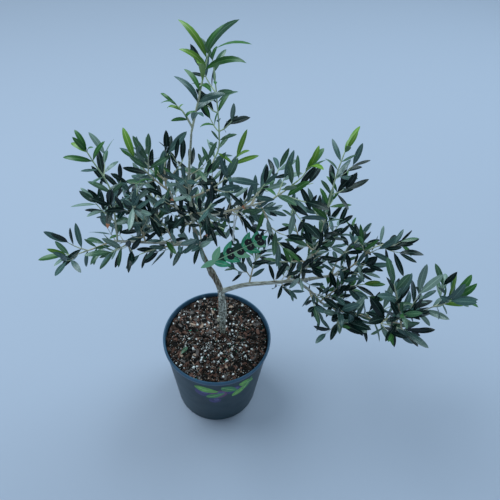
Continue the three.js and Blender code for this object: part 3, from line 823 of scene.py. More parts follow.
def plain_finishes(kind, rows):
    """Plain finishes of one kind, from rows of colour, roughness, relief and specular."""
    return [
        material(f"{kind}_{name}", colour, roughness, bump=relief, specular=specular)
        for name, (colour, roughness, relief, specular) in rows.items()
    ]


crumbs = plain_finishes("mix_crumb", {
    "dark": ((0.011, 0.009, 0.008), 0.85, 0.3, 0.2),
    "brown": ((0.066, 0.038, 0.029), 0.85, 0.3, 0.2),
    "red": ((0.19, 0.092, 0.068), 0.8, 0.3, 0.25),
    "tan": ((0.50, 0.34, 0.26), 0.8, 0.3, 0.25),
    "green": ((0.014, 0.19, 0.115), 0.6, 0, 0.5),
    "grey": ((0.15, 0.120, 0.112), 0.8, 0.3, 0.25),
})
twig_finishes = plain_finishes("twig", {
    "tan": ((0.56, 0.46, 0.32), 0.72, 0.15, 0.3),
    "grey_green": ((0.62, 0.61, 0.44), 0.68, 0.12, 0.3),
    "fresh": ((0.60, 0.68, 0.44), 0.62, 0.1, 0.35),
})

# Bark: [plain colour, roughness, scale, stretch, relief, relief's scale, tones]
BARKS = {
    "trunk_bark": ((0.155, 0.145, 0.098), 0.78, 330, (1, 1, 0.45), 0.5, 520, [
        (0.36, (0.06, 0.050, 0.040)), (0.45, (0.29, 0.275, 0.225)), (0.54, (0.46, 0.445, 0.37)),
        (0.61, (0.95, 0.92, 0.82)),
    ]),
    "bough_bark": ((0.21, 0.165, 0.10), 0.74, 420, (0.14, 1, 0.8), 0.35, 620, [
        (0.32, (0.22, 0.185, 0.145)), (0.45, (0.47, 0.43, 0.355)), (0.56, (0.66, 0.625, 0.545)),
        (0.66, (0.90, 0.87, 0.80)),
    ]),
    "leader_bark": ((0.27, 0.30, 0.22), 0.7, 360, (1, 1, 1), 0.25, 700, [
        (0.3, (0.27, 0.26, 0.19)), (0.5, (0.45, 0.44, 0.34)), (0.7, (0.66, 0.66, 0.55)),
    ]),
    "upper_trunk_bark": ((0.21, 0.165, 0.10), 0.76, 420, (1, 1, 0.16), 0.4, 620, [
        (0.34, (0.10, 0.070, 0.048)), (0.46, (0.23, 0.185, 0.135)), (0.58, (0.38, 0.33, 0.265)),
        (0.70, (0.66, 0.62, 0.54)),
    ]),
}
wood_finishes = [
    material(name, colour, roughness, tones, scale, stretch, relief, relief_scale, specular=0.3)
    for name, (colour, roughness, scale, stretch, relief, relief_scale, tones) in BARKS.items()
]
wood_finishes.append(material("cut_wood", (0.50, 0.44, 0.34), 0.8, scale=300, bump=0.2, specular=0.2))
OLD_BARK, YOUNG_BARK, LEADER_BARK, UPPER_BARK, CUT_WOOD = range(5)

# Leaf finishes: the colours of the upper face, midrib and underside of each kind of leaf
LEAF_TONES = {
    "dark": ((0.003, 0.014, 0.012), (0.024, 0.058, 0.047), (0.11, 0.18, 0.145)),
    "blue": ((0.058, 0.118, 0.110), (0.13, 0.22, 0.19), (0.25, 0.35, 0.305)),
    "green": ((0.056, 0.130, 0.070), (0.14, 0.25, 0.14), (0.25, 0.35, 0.245)),
    "sage": ((0.19, 0.275, 0.235), (0.33, 0.44, 0.37), (0.39, 0.49, 0.41)),
    "fresh": ((0.028, 0.125, 0.018), (0.12, 0.27, 0.08), (0.17, 0.29, 0.12)),
    "bright": ((0.125, 0.27, 0.022), (0.32, 0.46, 0.11), (0.27, 0.40, 0.13)),
}
LEAF_KINDS = list(LEAF_TONES)
YOUNG_KINDS = ("fresh", "bright")
LEAF_GRAIN = 90
leaf_finishes = []
for kind, (upper, midrib, underside) in LEAF_TONES.items():
    roughness = 0.4 if kind in YOUNG_KINDS else 0.27
    specular = 0.26 if kind == "dark" else 0.55
    leaf_finishes += [
        material(f"leaf_{kind}_upper", upper, roughness, None, LEAF_GRAIN, bump=0.06, bump_scale=1300,
                 rough_swing=0.06, specular=specular),
        material(f"leaf_{kind}_midrib", midrib, 0.5, None, LEAF_GRAIN),
        material(f"leaf_{kind}_underside", underside, 0.66, None, LEAF_GRAIN, bump=0.05, bump_scale=1500,
                 specular=0.35),
    ]
BURNT = len(leaf_finishes)
leaf_finishes.append(material("leaf_burnt_tip", (0.36, 0.13, 0.065), 0.7, None, LEAF_GRAIN))


# Camera
CAMERA_PITCH = 47.42
CAMERA_ROLL = 4
FOCAL = 504
FRAME_SIDE = 500
SENSOR = 36

pitch, roll = math.radians(CAMERA_PITCH), math.radians(CAMERA_ROLL)
ahead = Vector((0, math.cos(pitch), -math.sin(pitch)))
level = Vector((1, 0, 0))
upward = level.cross(ahead)
right = level * math.cos(roll) + upward * math.sin(roll)
upward = upward * math.cos(roll) - level * math.sin(roll)
view = bpy.data.cameras.new("camera")
view.sensor_width = SENSOR
view.lens = SENSOR * FOCAL / FRAME_SIDE
view.clip_start = 0.02
camera = link(bpy.data.objects.new("camera", view))
axes = Matrix((right, upward, -ahead)).transposed()
camera.matrix_world = Matrix.Translation(CAMERA_PLACE * MM) @ axes.to_4x4()
bpy.context.scene.camera = camera

# Floor and lights
bpy.context.scene.view_settings.view_transform = "Standard"
world = bpy.data.worlds.new("soft_sky")
world.use_nodes = True
sky = world.node_tree.nodes["Background"]
sky.inputs["Color"].default_value = (0.62, 0.85, 1.0, 1)
sky.inputs["Strength"].default_value = 0.34
bpy.context.scene.world = world


def lamp(name, place, target, size, power, colour):
    light = bpy.data.lights.new(name, "AREA")
    light.shape = "DISK"
    light.size = size
    light.energy = power
    light.color = colour
    obj = link(bpy.data.objects.new(name, light))
    obj.location = place
    obj.rotation_euler = (Vector(target) - Vector(place)).to_track_quat("-Z", "Y").to_euler()


lamp("key_light", (-1.5, 0.6, 3.2), (0.05, 0, 0.3), 2.4, 82, (0.75, 0.93, 1.0))
lamp("fill_light", (1.9, 1.8, 2.6), (0.05, 0, 0.4), 2.6, 54, (0.69, 0.90, 1.0))

floor_finish = material("pale_floor", (0.46, 0.49, 0.60), 0.85, specular=0.2, rough_swing=0.04, scale=40)
FLOOR_HALF, FLOOR_DROP = 6000, 0.3
ground = Build()
corners = [[x * FLOOR_HALF, y * FLOOR_HALF, -FLOOR_DROP] for x, y in ((-1, -1), (1, -1), (1, 1), (-1, 1))]
ground.add(corners, [(0, 1, 2, 3)])
floor = ground.make("floor", [floor_finish], smooth=False)


# Pot: turned shell with a rolled rim and drilled floor
WALL_FROM = 3
WALL_ROWS = 12
FLOOR_RING = 40
POT_SIDES = 144
INNER_ROUND = 1.5
RIM_FROM, RIM_INSIDE = LIP + 1, NECK_RADIUS - 1.8
DRILL_SIDES, DRILL_REACH = 24, 6


def wall_radius(z):
    return FOOT_RADIUS + (NECK_RADIUS - FOOT_RADIUS) * (z - WALL_FROM) / (LIP - WALL_FROM)


foot_roll = [[FOOT_RADIUS - 2, 0], [FOOT_RADIUS - 0.6, 0.7], [FOOT_RADIUS - 0.1, 1.8]]
rim_roll = [
    [NECK_RADIUS + 0.1, LIP + 1.2], [NECK_RADIUS + 0.5, LIP + 1.9], [RIM_RADIUS - 0.9, LIP + 2.4],
    [RIM_RADIUS - 0.2, LIP + 3.2], [RIM_RADIUS, LIP + 5], [RIM_RADIUS, POT_HEIGHT - 3.6],
    [RIM_RADIUS - 0.4, POT_HEIGHT - 1.9], [RIM_RADIUS - 1.2, POT_HEIGHT - 0.6],
    [RIM_RADIUS - 2.3, POT_HEIGHT], [RIM_RADIUS - 3.5, POT_HEIGHT - 0.25],
    [NECK_RADIUS - 0.7, POT_HEIGHT - 1.2], [NECK_RADIUS - 1.4, POT_HEIGHT - 3],
]
outer = [[wall_radius(z), z] for z in np.linspace(WALL_FROM, LIP, WALL_ROWS)]
inner = [[wall_radius(z) - WALL, z] for z in np.linspace(LIP, FLOOR + INNER_ROUND, WALL_ROWS)]
profile = [
    [0, 0], [FLOOR_RING, 0], *foot_roll, *outer, *rim_roll, *inner,
    [FOOT_RADIUS - WALL - INNER_ROUND, FLOOR], [FLOOR_RING, FLOOR], [0, FLOOR],
]
shell = Build()
shell.add(*lathe(profile, POT_SIDES))
pot = shell.make("pot_shell", [pot_wall, pot_rim_highlighted])
drills = Build()
for k in range(DRAIN_COUNT):
    angle = (k + 0.5) / DRAIN_COUNT * 2 * math.pi
    middle = np.array([DRAIN_RING * math.cos(angle), DRAIN_RING * math.sin(angle), 0])
    axis = [middle - DRILL_REACH * UP, middle, middle + DRILL_REACH * UP]
    drills.add(*tube(axis, [DRAIN_RADIUS] * 3, DRILL_SIDES))
drill = drills.make("drain_drill", [pot_wall])
cut = pot.modifiers.new("drain", "BOOLEAN")
cut.object = drill
cut.operation = "DIFFERENCE"
cut.solver = "EXACT"
applied(pot)
bpy.data.objects.remove(drill)
# Faces of the rolled rim take the rim finish, whose lighter blue is partly painted highlight
for face in pot.data.polygons:
    on_rim = face.center.z > RIM_FROM * MM and face.center.xy.length > RIM_INSIDE * MM
    face.material_index = int(on_rim)
    face.use_smooth = True
creased(pot, 40)
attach(pot, "root")
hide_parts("pot")


# Design printed on the wall: a garland of leaves and round dots
LEAF_PEAK, LEAF_FULLNESS, LEAF_END = 0.75, 0.8, 0.02


def leaf_patch(length, width, rows, columns):
    """A flat leaf outline as a grid: places along and across, and its faces."""
    places = []
    for i in range(rows + 1):
        t = i / rows
        full = math.sin(math.pi * t**LEAF_PEAK) ** LEAF_FULLNESS if 0 < i < rows else LEAF_END
        places += [[t * length, width / 2 * full * (2 * k / columns - 1)] for k in range(columns + 1)]
    row = columns + 1
    faces = [
        (i * row + k, (i + 1) * row + k, (i + 1) * row + k + 1, i * row + k + 1)
        for i in range(rows)
        for k in range(columns)
    ]
    return np.array(places), faces


def turned_patch(places, angle, offset):
    c, s = math.cos(math.radians(angle)), math.sin(math.radians(angle))
    return places @ np.array([[c, s], [-s, c]]) + offset


PRINT_COLOURS = [
    (0.17, 0.47, 0.07), (0.055, 0.27, 0.08), (0.045, 0.035, 0.16), (0.16, 0.05, 0.16), (0.38, 0.64, 0.22),
    (0.12, 0.10, 0.28),
]
print_finishes = [
    material(f"print_{k}", colour, 0.45, two_tones(colour, 0.75, 1.3), scale=120)
    for k, colour in enumerate(PRINT_COLOURS)
]


def on_wall(places, lift):
    """Places across the wall, [along the rim, height], as points just outside it."""
    radius = np.array([wall_radius(z) for z in places[:, 1]]) + lift
    angles = places[:, 0] / NECK_RADIUS
    return np.column_stack([radius * np.cos(angles), radius * np.sin(angles), places[:, 1]])


def on_card(places, lift):
    """Places on the tag, [along it, over it], as points just off its printed face."""
    x = places[:, :1] - TAG_HOLE[0]
    y = places[:, 1:] - TAG_HOLE[1]
    return tag["hole"] + x * tag["along"] + y * tag["over"] + (TAG_THICKNESS + lift) * tag["out"]


def add_print(build, onto, places, faces, mark, lift, depth=0.25, back=None):
    """A printed shape as a thin closed plate, its back in a colour of its own if one is given."""
    count = len(places)
    edges = {edge: True for face in faces for edge in zip(face, (*face[1:], face[0]))}
    rim = [(a, b) for a, b in edges if (b, a) not in edges]
    plate = list(faces) + [tuple(v + count for v in face[::-1]) for face in faces]
    plate += [(b, a, a + count, b + count) for a, b in rim]
    marks = [mark] * len(faces) + [mark if back is None else back] * len(faces) + [mark] * len(rim)
    build.add(np.concatenate([onto(places, lift), onto(places, lift - depth)]), plate, marks)


def add_leaf(build, onto, size, turn, root, mark, lift, depth=0.25, back=None, grid=(12, 4)):
    """A printed leaf, or with a coarser grid its midrib."""
    places, faces = leaf_patch(*size, *grid)
    add_print(build, onto, turned_patch(places, turn, np.array(root)), faces, mark, lift, depth, back)


def add_dot(build, onto, radius, spot, mark, lift, depth=0.25, grid=(4, 24)):
    places, faces = disc(radius, *grid)
    add_print(build, onto, places + spot, faces, mark, lift, depth)


# Garland: [place along the rim in degrees, height, turn, length, width, colour]
GARLAND = [
    (-110, 180, -12, 54, 25, 0), (-97, 138, 28, 46, 20, 1), (-80, 190, -42, 48, 22, 1),
    (-67, 134, 42, 50, 22, 0), (-60, 186, -30, 44, 22, 0), (-54, 146, 64, 46, 20, 1),
]
# Dots: [place along the rim in degrees, height, radius, colour]
DOTS = [(-101, 158, 18, 2), (-83, 156, 19, 3), (-87, 124, 14, 2), (-66, 164, 17, 2), (-50, 172, 14, 3)]
GLINT = 0.45
VEIN_COLOUR, GLINT_COLOUR = 4, 5
DOT_LIFT, GLINT_LIFT, LEAF_LIFT, VEIN_LIFT = 0.16, 0.2, 0.26, 0.32
MIDRIB_LENGTH, MIDRIB_WIDTH = 0.86, 0.1
MIDRIB_GRID = (8, 2)


def wall_spot(bearing, height):
    return np.array([math.radians(bearing) * NECK_RADIUS, height])


printed = Build()
for bearing, height, radius, mark in DOTS:
    spot = wall_spot(bearing, height)
    add_dot(printed, on_wall, radius, spot, mark, DOT_LIFT)
    add_dot(printed, on_wall, radius * GLINT, spot + radius * GLINT / 2, GLINT_COLOUR, GLINT_LIFT)
for bearing, height, turn, length, width, mark in GARLAND:
    spot = wall_spot(bearing, height)
    midrib = (length * MIDRIB_LENGTH, width * MIDRIB_WIDTH)
    add_leaf(printed, on_wall, (length, width), turn, spot, mark, LEAF_LIFT)
    add_leaf(printed, on_wall, midrib, turn, spot, VEIN_COLOUR, VEIN_LIFT, grid=MIDRIB_GRID)
garland = printed.make("pot_print", print_finishes)
creased(garland, 40)
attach(garland, "root")


# Potting mix: a lumpy bed with crumbs, chips, perlite and a few green flecks on it
BED_RINGS = 46
BED_SIDES = 132
EDGE_GAP, FOOT_GAP = 0.4, 0.5
BED_RADIUS = wall_radius(SOIL_EDGE) - WALL - EDGE_GAP
BACK_RISE, RISE_BEND = 7.5, 1.3
HEAP, HEAP_LENGTH = 4.5, 16
BED_DROP = 0.6
# Lumps of the bed: [height, width]
BED_LUMPS = [(1.6, 23), (1.3, 9), (0.8, 4)]
CLEAR_OF_TRUNK = 8
CLEAR_OF_WALL = 3
NEAR_SHARE = 0.62


def bed_height(x, y):
    radius = math.hypot(x, y)
    slope = (SOIL_TOP - SOIL_EDGE) / (BED_RADIUS - SOIL_CROWN_RADIUS)
    level = SOIL_TOP - max(0, radius - SOIL_CROWN_RADIUS) * slope
    lumps = sum(height * noise.noise(Vector((x, y, 0)) / width) for height, width in BED_LUMPS)
    heap = HEAP * math.exp(-((math.hypot(x - TRUNK_FOOT[0], y - TRUNK_FOOT[1]) / HEAP_LENGTH) ** 2))
    return level - BED_DROP + lumps + heap + BACK_RISE * min(1, max(0, y / BED_RADIUS)) ** RISE_BEND


bed = Build()
spots, faces = disc(BED_RADIUS, BED_RINGS, BED_SIDES)
corners = [[x, y, bed_height(x, y)] for x, y in spots]
edge, under = len(spots) - BED_SIDES, len(spots)
foot = wall_radius(FLOOR + GAP) - WALL - FOOT_GAP
corners += [[foot * x / BED_RADIUS, foot * y / BED_RADIUS, FLOOR + GAP] for x, y in spots[edge:]]
faces += band(edge, under, BED_SIDES)
faces.append(tuple(range(under, under + BED_SIDES))[::-1])
bed.add(corners, faces)
mix = bed.make("potting_mix_bed", [soil_mix])
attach(mix, "root")
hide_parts("soil")

GRAIN_SEED = 41
rng = np.random.default_rng(GRAIN_SEED)


def lump(level):
    """A unit ball of flat faces."""
    shape = bmesh.new()
    bmesh.ops.create_icosphere(shape, subdivisions=level, radius=1)
    corners = np.array([v.co for v in shape.verts])
    faces = [tuple(v.index for v in f.verts) for f in shape.faces]
    shape.free()
    return corners, faces


def block():
    """A unit slab with its corners off."""
    outline = [(-1, -0.6), (0.2, -1), (1, -0.4), (0.8, 0.8), (-0.5, 1)]
    sides = len(outline)
    faces = [tuple(range(sides))[::-1], tuple(range(sides, 2 * sides))]
    faces += [(k, (k + 1) % sides, sides + (k + 1) % sides, sides + k) for k in range(sides)]
    return np.array([[x, y, z] for z in (-1.0, 1.0) for x, y in outline]), faces


def random_turns(count, tilt):
    """Turn matrices with any heading and up to a given tilt, in radians."""
    heading = rng.uniform(0, 2 * math.pi, count)
    lean = rng.normal(0, tilt, count)
    roll_over = rng.normal(0, tilt, count)
    return np.array([
        Matrix.Rotation(h, 3, "Z") @ Matrix.Rotation(l, 3, "X") @ Matrix.Rotation(r, 3, "Y")
        for h, l, r in zip(heading, lean, roll_over)
    ])


def scatter(build, shape, count, sizes, marks, tilt, rough, sunk, centre=None, spread=None):
    """Grains of a shape strewn over the bed, sunk into it by a share of their height."""
    corners, faces = shape
    turns = random_turns(count, tilt)
    for k in range(count):
        while True:
            if centre is not None and rng.random() < NEAR_SHARE:
                x, y = rng.normal(centre[0], spread), rng.normal(centre[1], spread)
            else:
                radius, angle = BED_RADIUS * math.sqrt(rng.random()), rng.uniform(0, 2 * math.pi)
                x, y = radius * math.cos(angle), radius * math.sin(angle)
            clear_of_trunk = math.hypot(x - TRUNK_FOOT[0], y - TRUNK_FOOT[1]) > CLEAR_OF_TRUNK
            if math.hypot(x, y) < BED_RADIUS - CLEAR_OF_WALL and clear_of_trunk:
                break
        grow = rng.random() ** 2
        size = np.array([low + (high - low) * grow for low, high in sizes]) / 2
        bent = corners * (1 + rng.uniform(-rough, rough, (len(corners), 1))) * size
        lift = size[2] * (1 - 2 * sunk)
        build.add(bent @ turns[k].T + [x, y, bed_height(x, y) + lift], faces, int(marks[k]))


def marks_of(count, shares):
    return rng.choice(len(shares), count, p=np.array(shares) / sum(shares))


# Grains of the mix: [shape, count, sizes, shares of the colours, tilt, roughness, sunk share]
GRAINS = [
    (lump(1), 3600, [(1.4, 5), (1.2, 4), (1.1, 3.4)], (6.6, 2.8, 1.6, 0.45, 0, 1), 1, 0.28, 0.35),
    (block(), 1500, [(3, 15), (1.6, 7), (0.8, 2.8)], (4.8, 2.6, 2.3, 0.5, 0, 1.3), 0.5, 0.22, 0),
    (block(), 420, [(5, 17), (0.8, 1.7), (0.5, 1)], (1, 2, 2, 2, 0, 1.5), 0.45, 0.2, -0.9),
]
FLECK_COUNT, FLECK_COLOUR, FLECKS_NEAR, FLECKS_SPREAD = 64, 4, (30, -42), 34
grains = Build()
for shape, number, sizes, shares, tilt, rough, sunk in GRAINS:
    scatter(grains, shape, number, sizes, marks_of(number, shares), tilt, rough, sunk)
scatter(grains, block(), FLECK_COUNT, [(2.4, 7), (1.2, 2.6), (0.3, 0.6)], [FLECK_COLOUR] * FLECK_COUNT,
        0.35, 0.2, -1.6, FLECKS_NEAR, FLECKS_SPREAD)
loose = grains.make("mix_crumbs", crumbs, smooth=False)
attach(loose, "root")

# Perlite: [shape, count, sizes, roughness, sunk share, spread round its middle]
NEAR_TRUNK = (-8, 0)
BEADS = [
    (lump(2), 230, [(1.6, 7.2), (1.4, 6), (1.3, 5)], 0.16, 0.1, 44),
    (lump(1), 1900, [(0.7, 2.6), (0.6, 1.9), (0.6, 1.6)], 0.2, -0.5, 52),
]
white = Build()
for shape, number, sizes, rough, sunk, spread in BEADS:
    scatter(white, shape, number, sizes, [0] * number, 1, rough, sunk, NEAR_TRUNK, spread)
beads = white.make("perlite_grains", [perlite])
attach(beads, "root")


# Bark: trunk and boughs fused into one skin, then given relief
WOOD_SIDES = 20
WOOD_STEP = 3.0
WOOD_VOXEL = 0.85
WOOD_SKIN = 0.12
SUNK_FOOT, FOOT_FLARE = 7, 1.05
END_TAPER = 0.6
COLLAR = 0.55
COLLAR_LENGTH = 6
LEADER_FROM, LEADER_SLIM, LEADER_FADE = 0.45, 0.24, 0.2
# Swellings and hollows of the trunk: [distance up it, share of its radius, length]
SWELLINGS = [(144, 0.22, 11), (48, 0.08, 13), (95, -0.2, 34), (6, -0.28, 24), (214, -0.27, 52)]
BOUGH_SLIMMING = {"right_bough": 0.86, "upper_right_bough": 0.88}
# Healed cut on the trunk's side: distance up it, heading, climb, length, radius
CUT_AT, CUT_HEADING, CUT_CLIMB, CUT_OUT, CUT_RADIUS = 52, 222, 30, 14, 3.9
CUT_FLARE, CUT_SIDES = (1.3, 1.1, 1), 12
# Relief of the bark: [height, width, length], and its depth on thin limbs and for each millimetre of radius
RIDGES = [(0.6, 2.6, 6.5), (0.55, 7, 15), (0.25, 1.3, 1.8)]
RIDGE_LEAST, RIDGE_GAIN, RIDGE_MOST = 0.11, 0.05, 9
# Heights below which the trunk's bark is old and above which it is the leader's, and how ragged they are
OLD_BELOW, LEADER_ABOVE, RAGGED = 358, 500, 20
CHUNK = 4000


def limb_radius(limb, share):
    place = share * (len(limb["radii"]) - 1)
    i = min(int(place), len(limb["radii"]) - 2)
    taper = limb["radii"][i] + (limb["radii"][i + 1] - limb["radii"][i]) * (place - i)
    s = share * limb["line"].length
    if limb["name"] == "trunk":
        swell = sum(amount * math.exp(-(((s - place) / length) ** 2)) for place, amount, length in SWELLINGS)
        slim = LEADER_SLIM * min(1, max(0, (share - LEADER_FROM) / LEADER_FADE))
        return taper * (1 + swell - slim)
    return taper * BOUGH_SLIMMING.get(limb["name"], 1) * (1 + COLLAR * math.exp(-s / COLLAR_LENGTH))


wood = Build()
for limb in limbs.values():
    line = limb["line"]
    count = int(line.length / WOOD_STEP)
    shares = np.arange(count + 1) / count
    points = [smooth_curve(line.joints, share) for share in shares]
    radii = [limb_radius(limb, share) + WOOD_SKIN for share in shares]
    if limb["name"] == "trunk":
        points.insert(0, points[0] - SUNK_FOOT * UP)
        radii.insert(0, radii[0] * FOOT_FLARE)
    radii[-1] *= END_TAPER
    wood.add(*tube(points, radii, WOOD_SIDES))
cut_root = limbs["trunk"]["line"].at(CUT_AT)[0]
cut_end = cut_root + CUT_OUT * aim(CUT_HEADING, CUT_CLIMB)
cut_radii = [CUT_RADIUS * flare for flare in CUT_FLARE]
wood.add(*tube([cut_root, (cut_root + cut_end) / 2, cut_end], cut_radii, CUT_SIDES))
limb_skin = wood.make("trunk_and_boughs", wood_finishes)
fuse = limb_skin.modifiers.new("fuse", "REMESH")
fuse.mode = "VOXEL"
fuse.voxel_size = WOOD_VOXEL * MM
soften = limb_skin.modifiers.new("soften", "SMOOTH")
soften.factor = 0.5
soften.iterations = 4
applied(limb_skin)

skin = limb_skin.data
count = len(skin.vertices)
corners, normals = np.zeros(count * 3), np.zeros(count * 3)
skin.vertices.foreach_get("co", corners)
skin.vertices.foreach_get("normal", normals)
corners, normals = corners.reshape(-1, 3) / MM, normals.reshape(-1, 3)
nearest, depth = np.zeros(count, int), np.zeros(count)
for first in range(0, count, CHUNK):
    reach = distances(limb_from, limb_to, corners[first:first + CHUNK])
    nearest[first:first + CHUNK] = reach.argmin(1)
    depth[first:first + CHUNK] = reach.min(1)
owners = np.concatenate([[k] * (len(limb["line"].points) - 1) for k, limb in enumerate(limbs.values())])
relief = np.array([
    sum(high * noise.noise(Vector((x / wide, y / wide, z / long))) for high, wide, long in RIDGES)
    for x, y, z in corners
])
amount = RIDGE_LEAST + RIDGE_GAIN * np.clip(depth, 0, RIDGE_MOST)
corners += normals * (relief * amount)[:, None]
skin.vertices.foreach_set("co", (corners * MM).ravel())
on_trunk = owners[nearest] == 0
finishes = np.full(count, YOUNG_BARK)
finishes[on_trunk] = UPPER_BARK
finishes[on_trunk & (corners[:, 2] < OLD_BELOW + RAGGED * relief)] = OLD_BARK
finishes[on_trunk & (corners[:, 2] > LEADER_ABOVE + RAGGED * relief)] = LEADER_BARK
finishes[np.linalg.norm(corners - cut_end, axis=1) < cut_radii[0]] = CUT_WOOD
for face in skin.polygons:
    face.material_index = int(finishes[face.vertices[0]])
    face.use_smooth = True
skin.update()
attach(limb_skin, "root")
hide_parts(*LIMBS)


# Twigs
TWIG_SIDES = 7
TWIG_STEP = 3.5
NODE_SWELL, NODE_LENGTH = 0.22, 2.2
STEM_SLIM, SIDE_SLIM, END_SLIM, TIP_SLIM = 0.9, 0.8, 0.75, 0.7
WANDER, WANDER_LENGTH, WANDER_SEED = 0.5, 14, 7
# Ages at which a twig turns grey-green and then fresh, and how much younger green stems look
GREY_GREEN_FROM, FRESH_FROM, GREENER = 0.45, 0.85, 0.45
SIDE_YOUTH = 0.3


def twig_tube(spray):
    """Points, radii and shares along a stem or twig, a little wavy, and swollen where leaves grow."""
    line = spray["line"]
    count = max(4, int(line.length / TWIG_STEP))
    shares = np.arange(count + 1) / count
    points = np.array([smooth_curve(line.joints, share) for share in shares])
    start, end = spray["radii"]
    slim = STEM_SLIM if spray["level"] == 0 else SIDE_SLIM
    radii = []
    for share in shares:
        near = min((abs(share * line.length - s) for s, turn in spray["pairs"]), default=line.length)
        swell = NODE_SWELL * math.exp(-((near / NODE_LENGTH) ** 2))
        radii.append((start + (end * END_SLIM - start) * share) * slim * (1 + swell))
    radii[-1] *= TIP_SLIM
    wander = np.array([noise.noise_vector(Vector(p) / WANDER_LENGTH) for p in points]) * WANDER
    wander[0] = 0
    return points + wander, radii, shares


noise.seed_set(WANDER_SEED)
twigs = Build()
for mass in masses + bough_growth:
    for spray in mass["sprays"]:
        points, radii, shares = twig_tube(spray)
        corners, faces = tube(points, radii, TWIG_SIDES)
        middle = np.repeat((shares[:-1] + shares[1:]) / 2, TWIG_SIDES)
        youth = np.maximum(middle, spray["age"] + SIDE_YOUTH * middle * (spray["level"] > 0))
        if mass["name"] in GREEN_STEMS:
            youth = youth + GREENER
        kinds = np.digitize(youth, (GREY_GREEN_FROM, FRESH_FROM))
        twigs.add(corners, faces, [*kinds.tolist(), int(kinds[0]), int(kinds[-1])])
stems = twigs.make("twigs", twig_finishes)
creased(stems, 60)
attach(stems, "root")


# Leaves: each is a closed lens, folded along its midrib, arched and twisted along its length
LEAF_ROWS = np.array([0, 0.06, 0.13, 0.24, 0.38, 0.53, 0.68, 0.81, 0.92])
LEAF_HALVES = np.array([0.10, 0.13, 0.38, 0.72, 0.93, 1.0, 0.94, 0.74, 0.43])
BLADE, MIDRIB_DEPTH = 0.22, 1.4
STRAIGHT_AT = 0.4
# Corners round a leaf: [share of its half width, height of the blade there], over its face and then under it
ROUND_LEAF = [(u, BLADE) for u in (-1, -0.52, -0.09, 0.09, 0.52, 1)]
ROUND_LEAF += [(u, -BLADE * MIDRIB_DEPTH) for u in (0.13, -0.13)]
MARGINS = (0, 5)
ROW_SIZE = len(ROUND_LEAF)
UPPER, MIDRIB, UNDERSIDE = 0, 1, 2
ROW_ROLES = [UPPER, UPPER, MIDRIB, UPPER, UPPER, UNDERSIDE, MIDRIB, UNDERSIDE]

tip = len(LEAF_ROWS) * ROW_SIZE
last = tip - ROW_SIZE
leaf_pattern = []
for low in range(0, last, ROW_SIZE):
    leaf_pattern += band(low, low + ROW_SIZE, ROW_SIZE)
leaf_pattern += [(last + k, tip, last + (k + 1) % ROW_SIZE) for k in range(ROW_SIZE)]
leaf_pattern.append(tuple(range(ROW_SIZE))[::-1])
leaf_roles = ROW_ROLES * len(LEAF_ROWS) + [UNDERSIDE]
tip_faces = [f for f, face in enumerate(leaf_pattern) if min(face) >= last - ROW_SIZE]


def turned(first, second, angle):
    """Two directions square to each other, turned in their plane."""
    c, s = math.cos(angle), math.sin(angle)
    return first * c + second * s, second * c - first * s


def leaf_corners(leaf):
    """The corners of one leaf, in millimetres."""
    length, half, direction = leaf["length"], leaf["length"] * leaf["aspect"] / 2, leaf["direction"]
    face, side = turned(leaf["face"], np.cross(leaf["face"], direction), leaf["roll"])
    sweep = leaf["sweep"] * length * (-1 if side[2] > 0 else 1)
    shares = np.append(LEAF_ROWS, 1.0)
    angles = leaf["arch"] * (shares - STRAIGHT_AT)
    spine, here = [], leaf["root"].copy()
    for i, share in enumerate(shares):
        if i:
            mean = (angles[i] + angles[i - 1]) / 2
            onward = direction * math.cos(mean) - face * math.sin(mean)
            here = here + (share - shares[i - 1]) * length * onward
        spine.append(here + sweep * share * share * side)
    corners = []
    for share, narrow, angle, middle in zip(LEAF_ROWS, LEAF_HALVES, angles, spine):
        normal = face * math.cos(angle) + direction * math.sin(angle)
        flat, normal = turned(side, normal, leaf["twist"] * share)
        width = half * narrow
        for u, blade in ROUND_LEAF:
            rise = abs(u) * width * leaf["fold"] - leaf["curl"] * u * u * width + blade * (1 - abs(u))
            corners.append(middle + flat * (u * width) + normal * rise)
    corners.append(spine[-1])
    return np.array(corners)


# Share of a stem, then of each shoot, from which its leaves are young and bright
NEVER = 2
FRESH = {
    "top": (0.5, 0.2), "left_up": (0.86,), "upper_right": (0.8, 0.93), "back_right": (0.9,),
    "low_right": (NEVER, 0.78, 0.74), "centre_up": (0.88,), "left_far": (0.93,), "back_top": (0.96,),
    "right_hanging": (0.96,), "low_right_inner": (0.88,), "upper_left": (0.93,),
}
FRESH_KINDS = ("bright", "fresh", "green")
FRESH_SHARES = (0.48, 0.36, 0.16)
SPRAY_KINDS = ("dark", "blue", "green", "sage", "fresh")
SPRAY_SHARES = (0.40, 0.29, 0.14, 0.13, 0.04)
OWN_COLOUR = 0.4
BURNT_SHARE = 0.0045
# Looks of leaves, young ones first: aspect from and to, then mean and spread of the arch
YOUNG_ASPECT, OLD_ASPECT = (0.18, 0.24), (0.20, 0.27)
YOUNG_ARCH, OLD_ARCH = (0.8, 0.45), (0.25, 0.35)
FOLD, CURL = (0.03, 0.32), (0.0, 0.2)
TWIST, ROLL = (0, 0.3), (0, 0.28)
SWEEP, SWEEP_SPREAD = 0.02, 0.06


def chosen(looks, kinds, shares):
    return kinds[looks.choice(len(kinds), p=shares)]


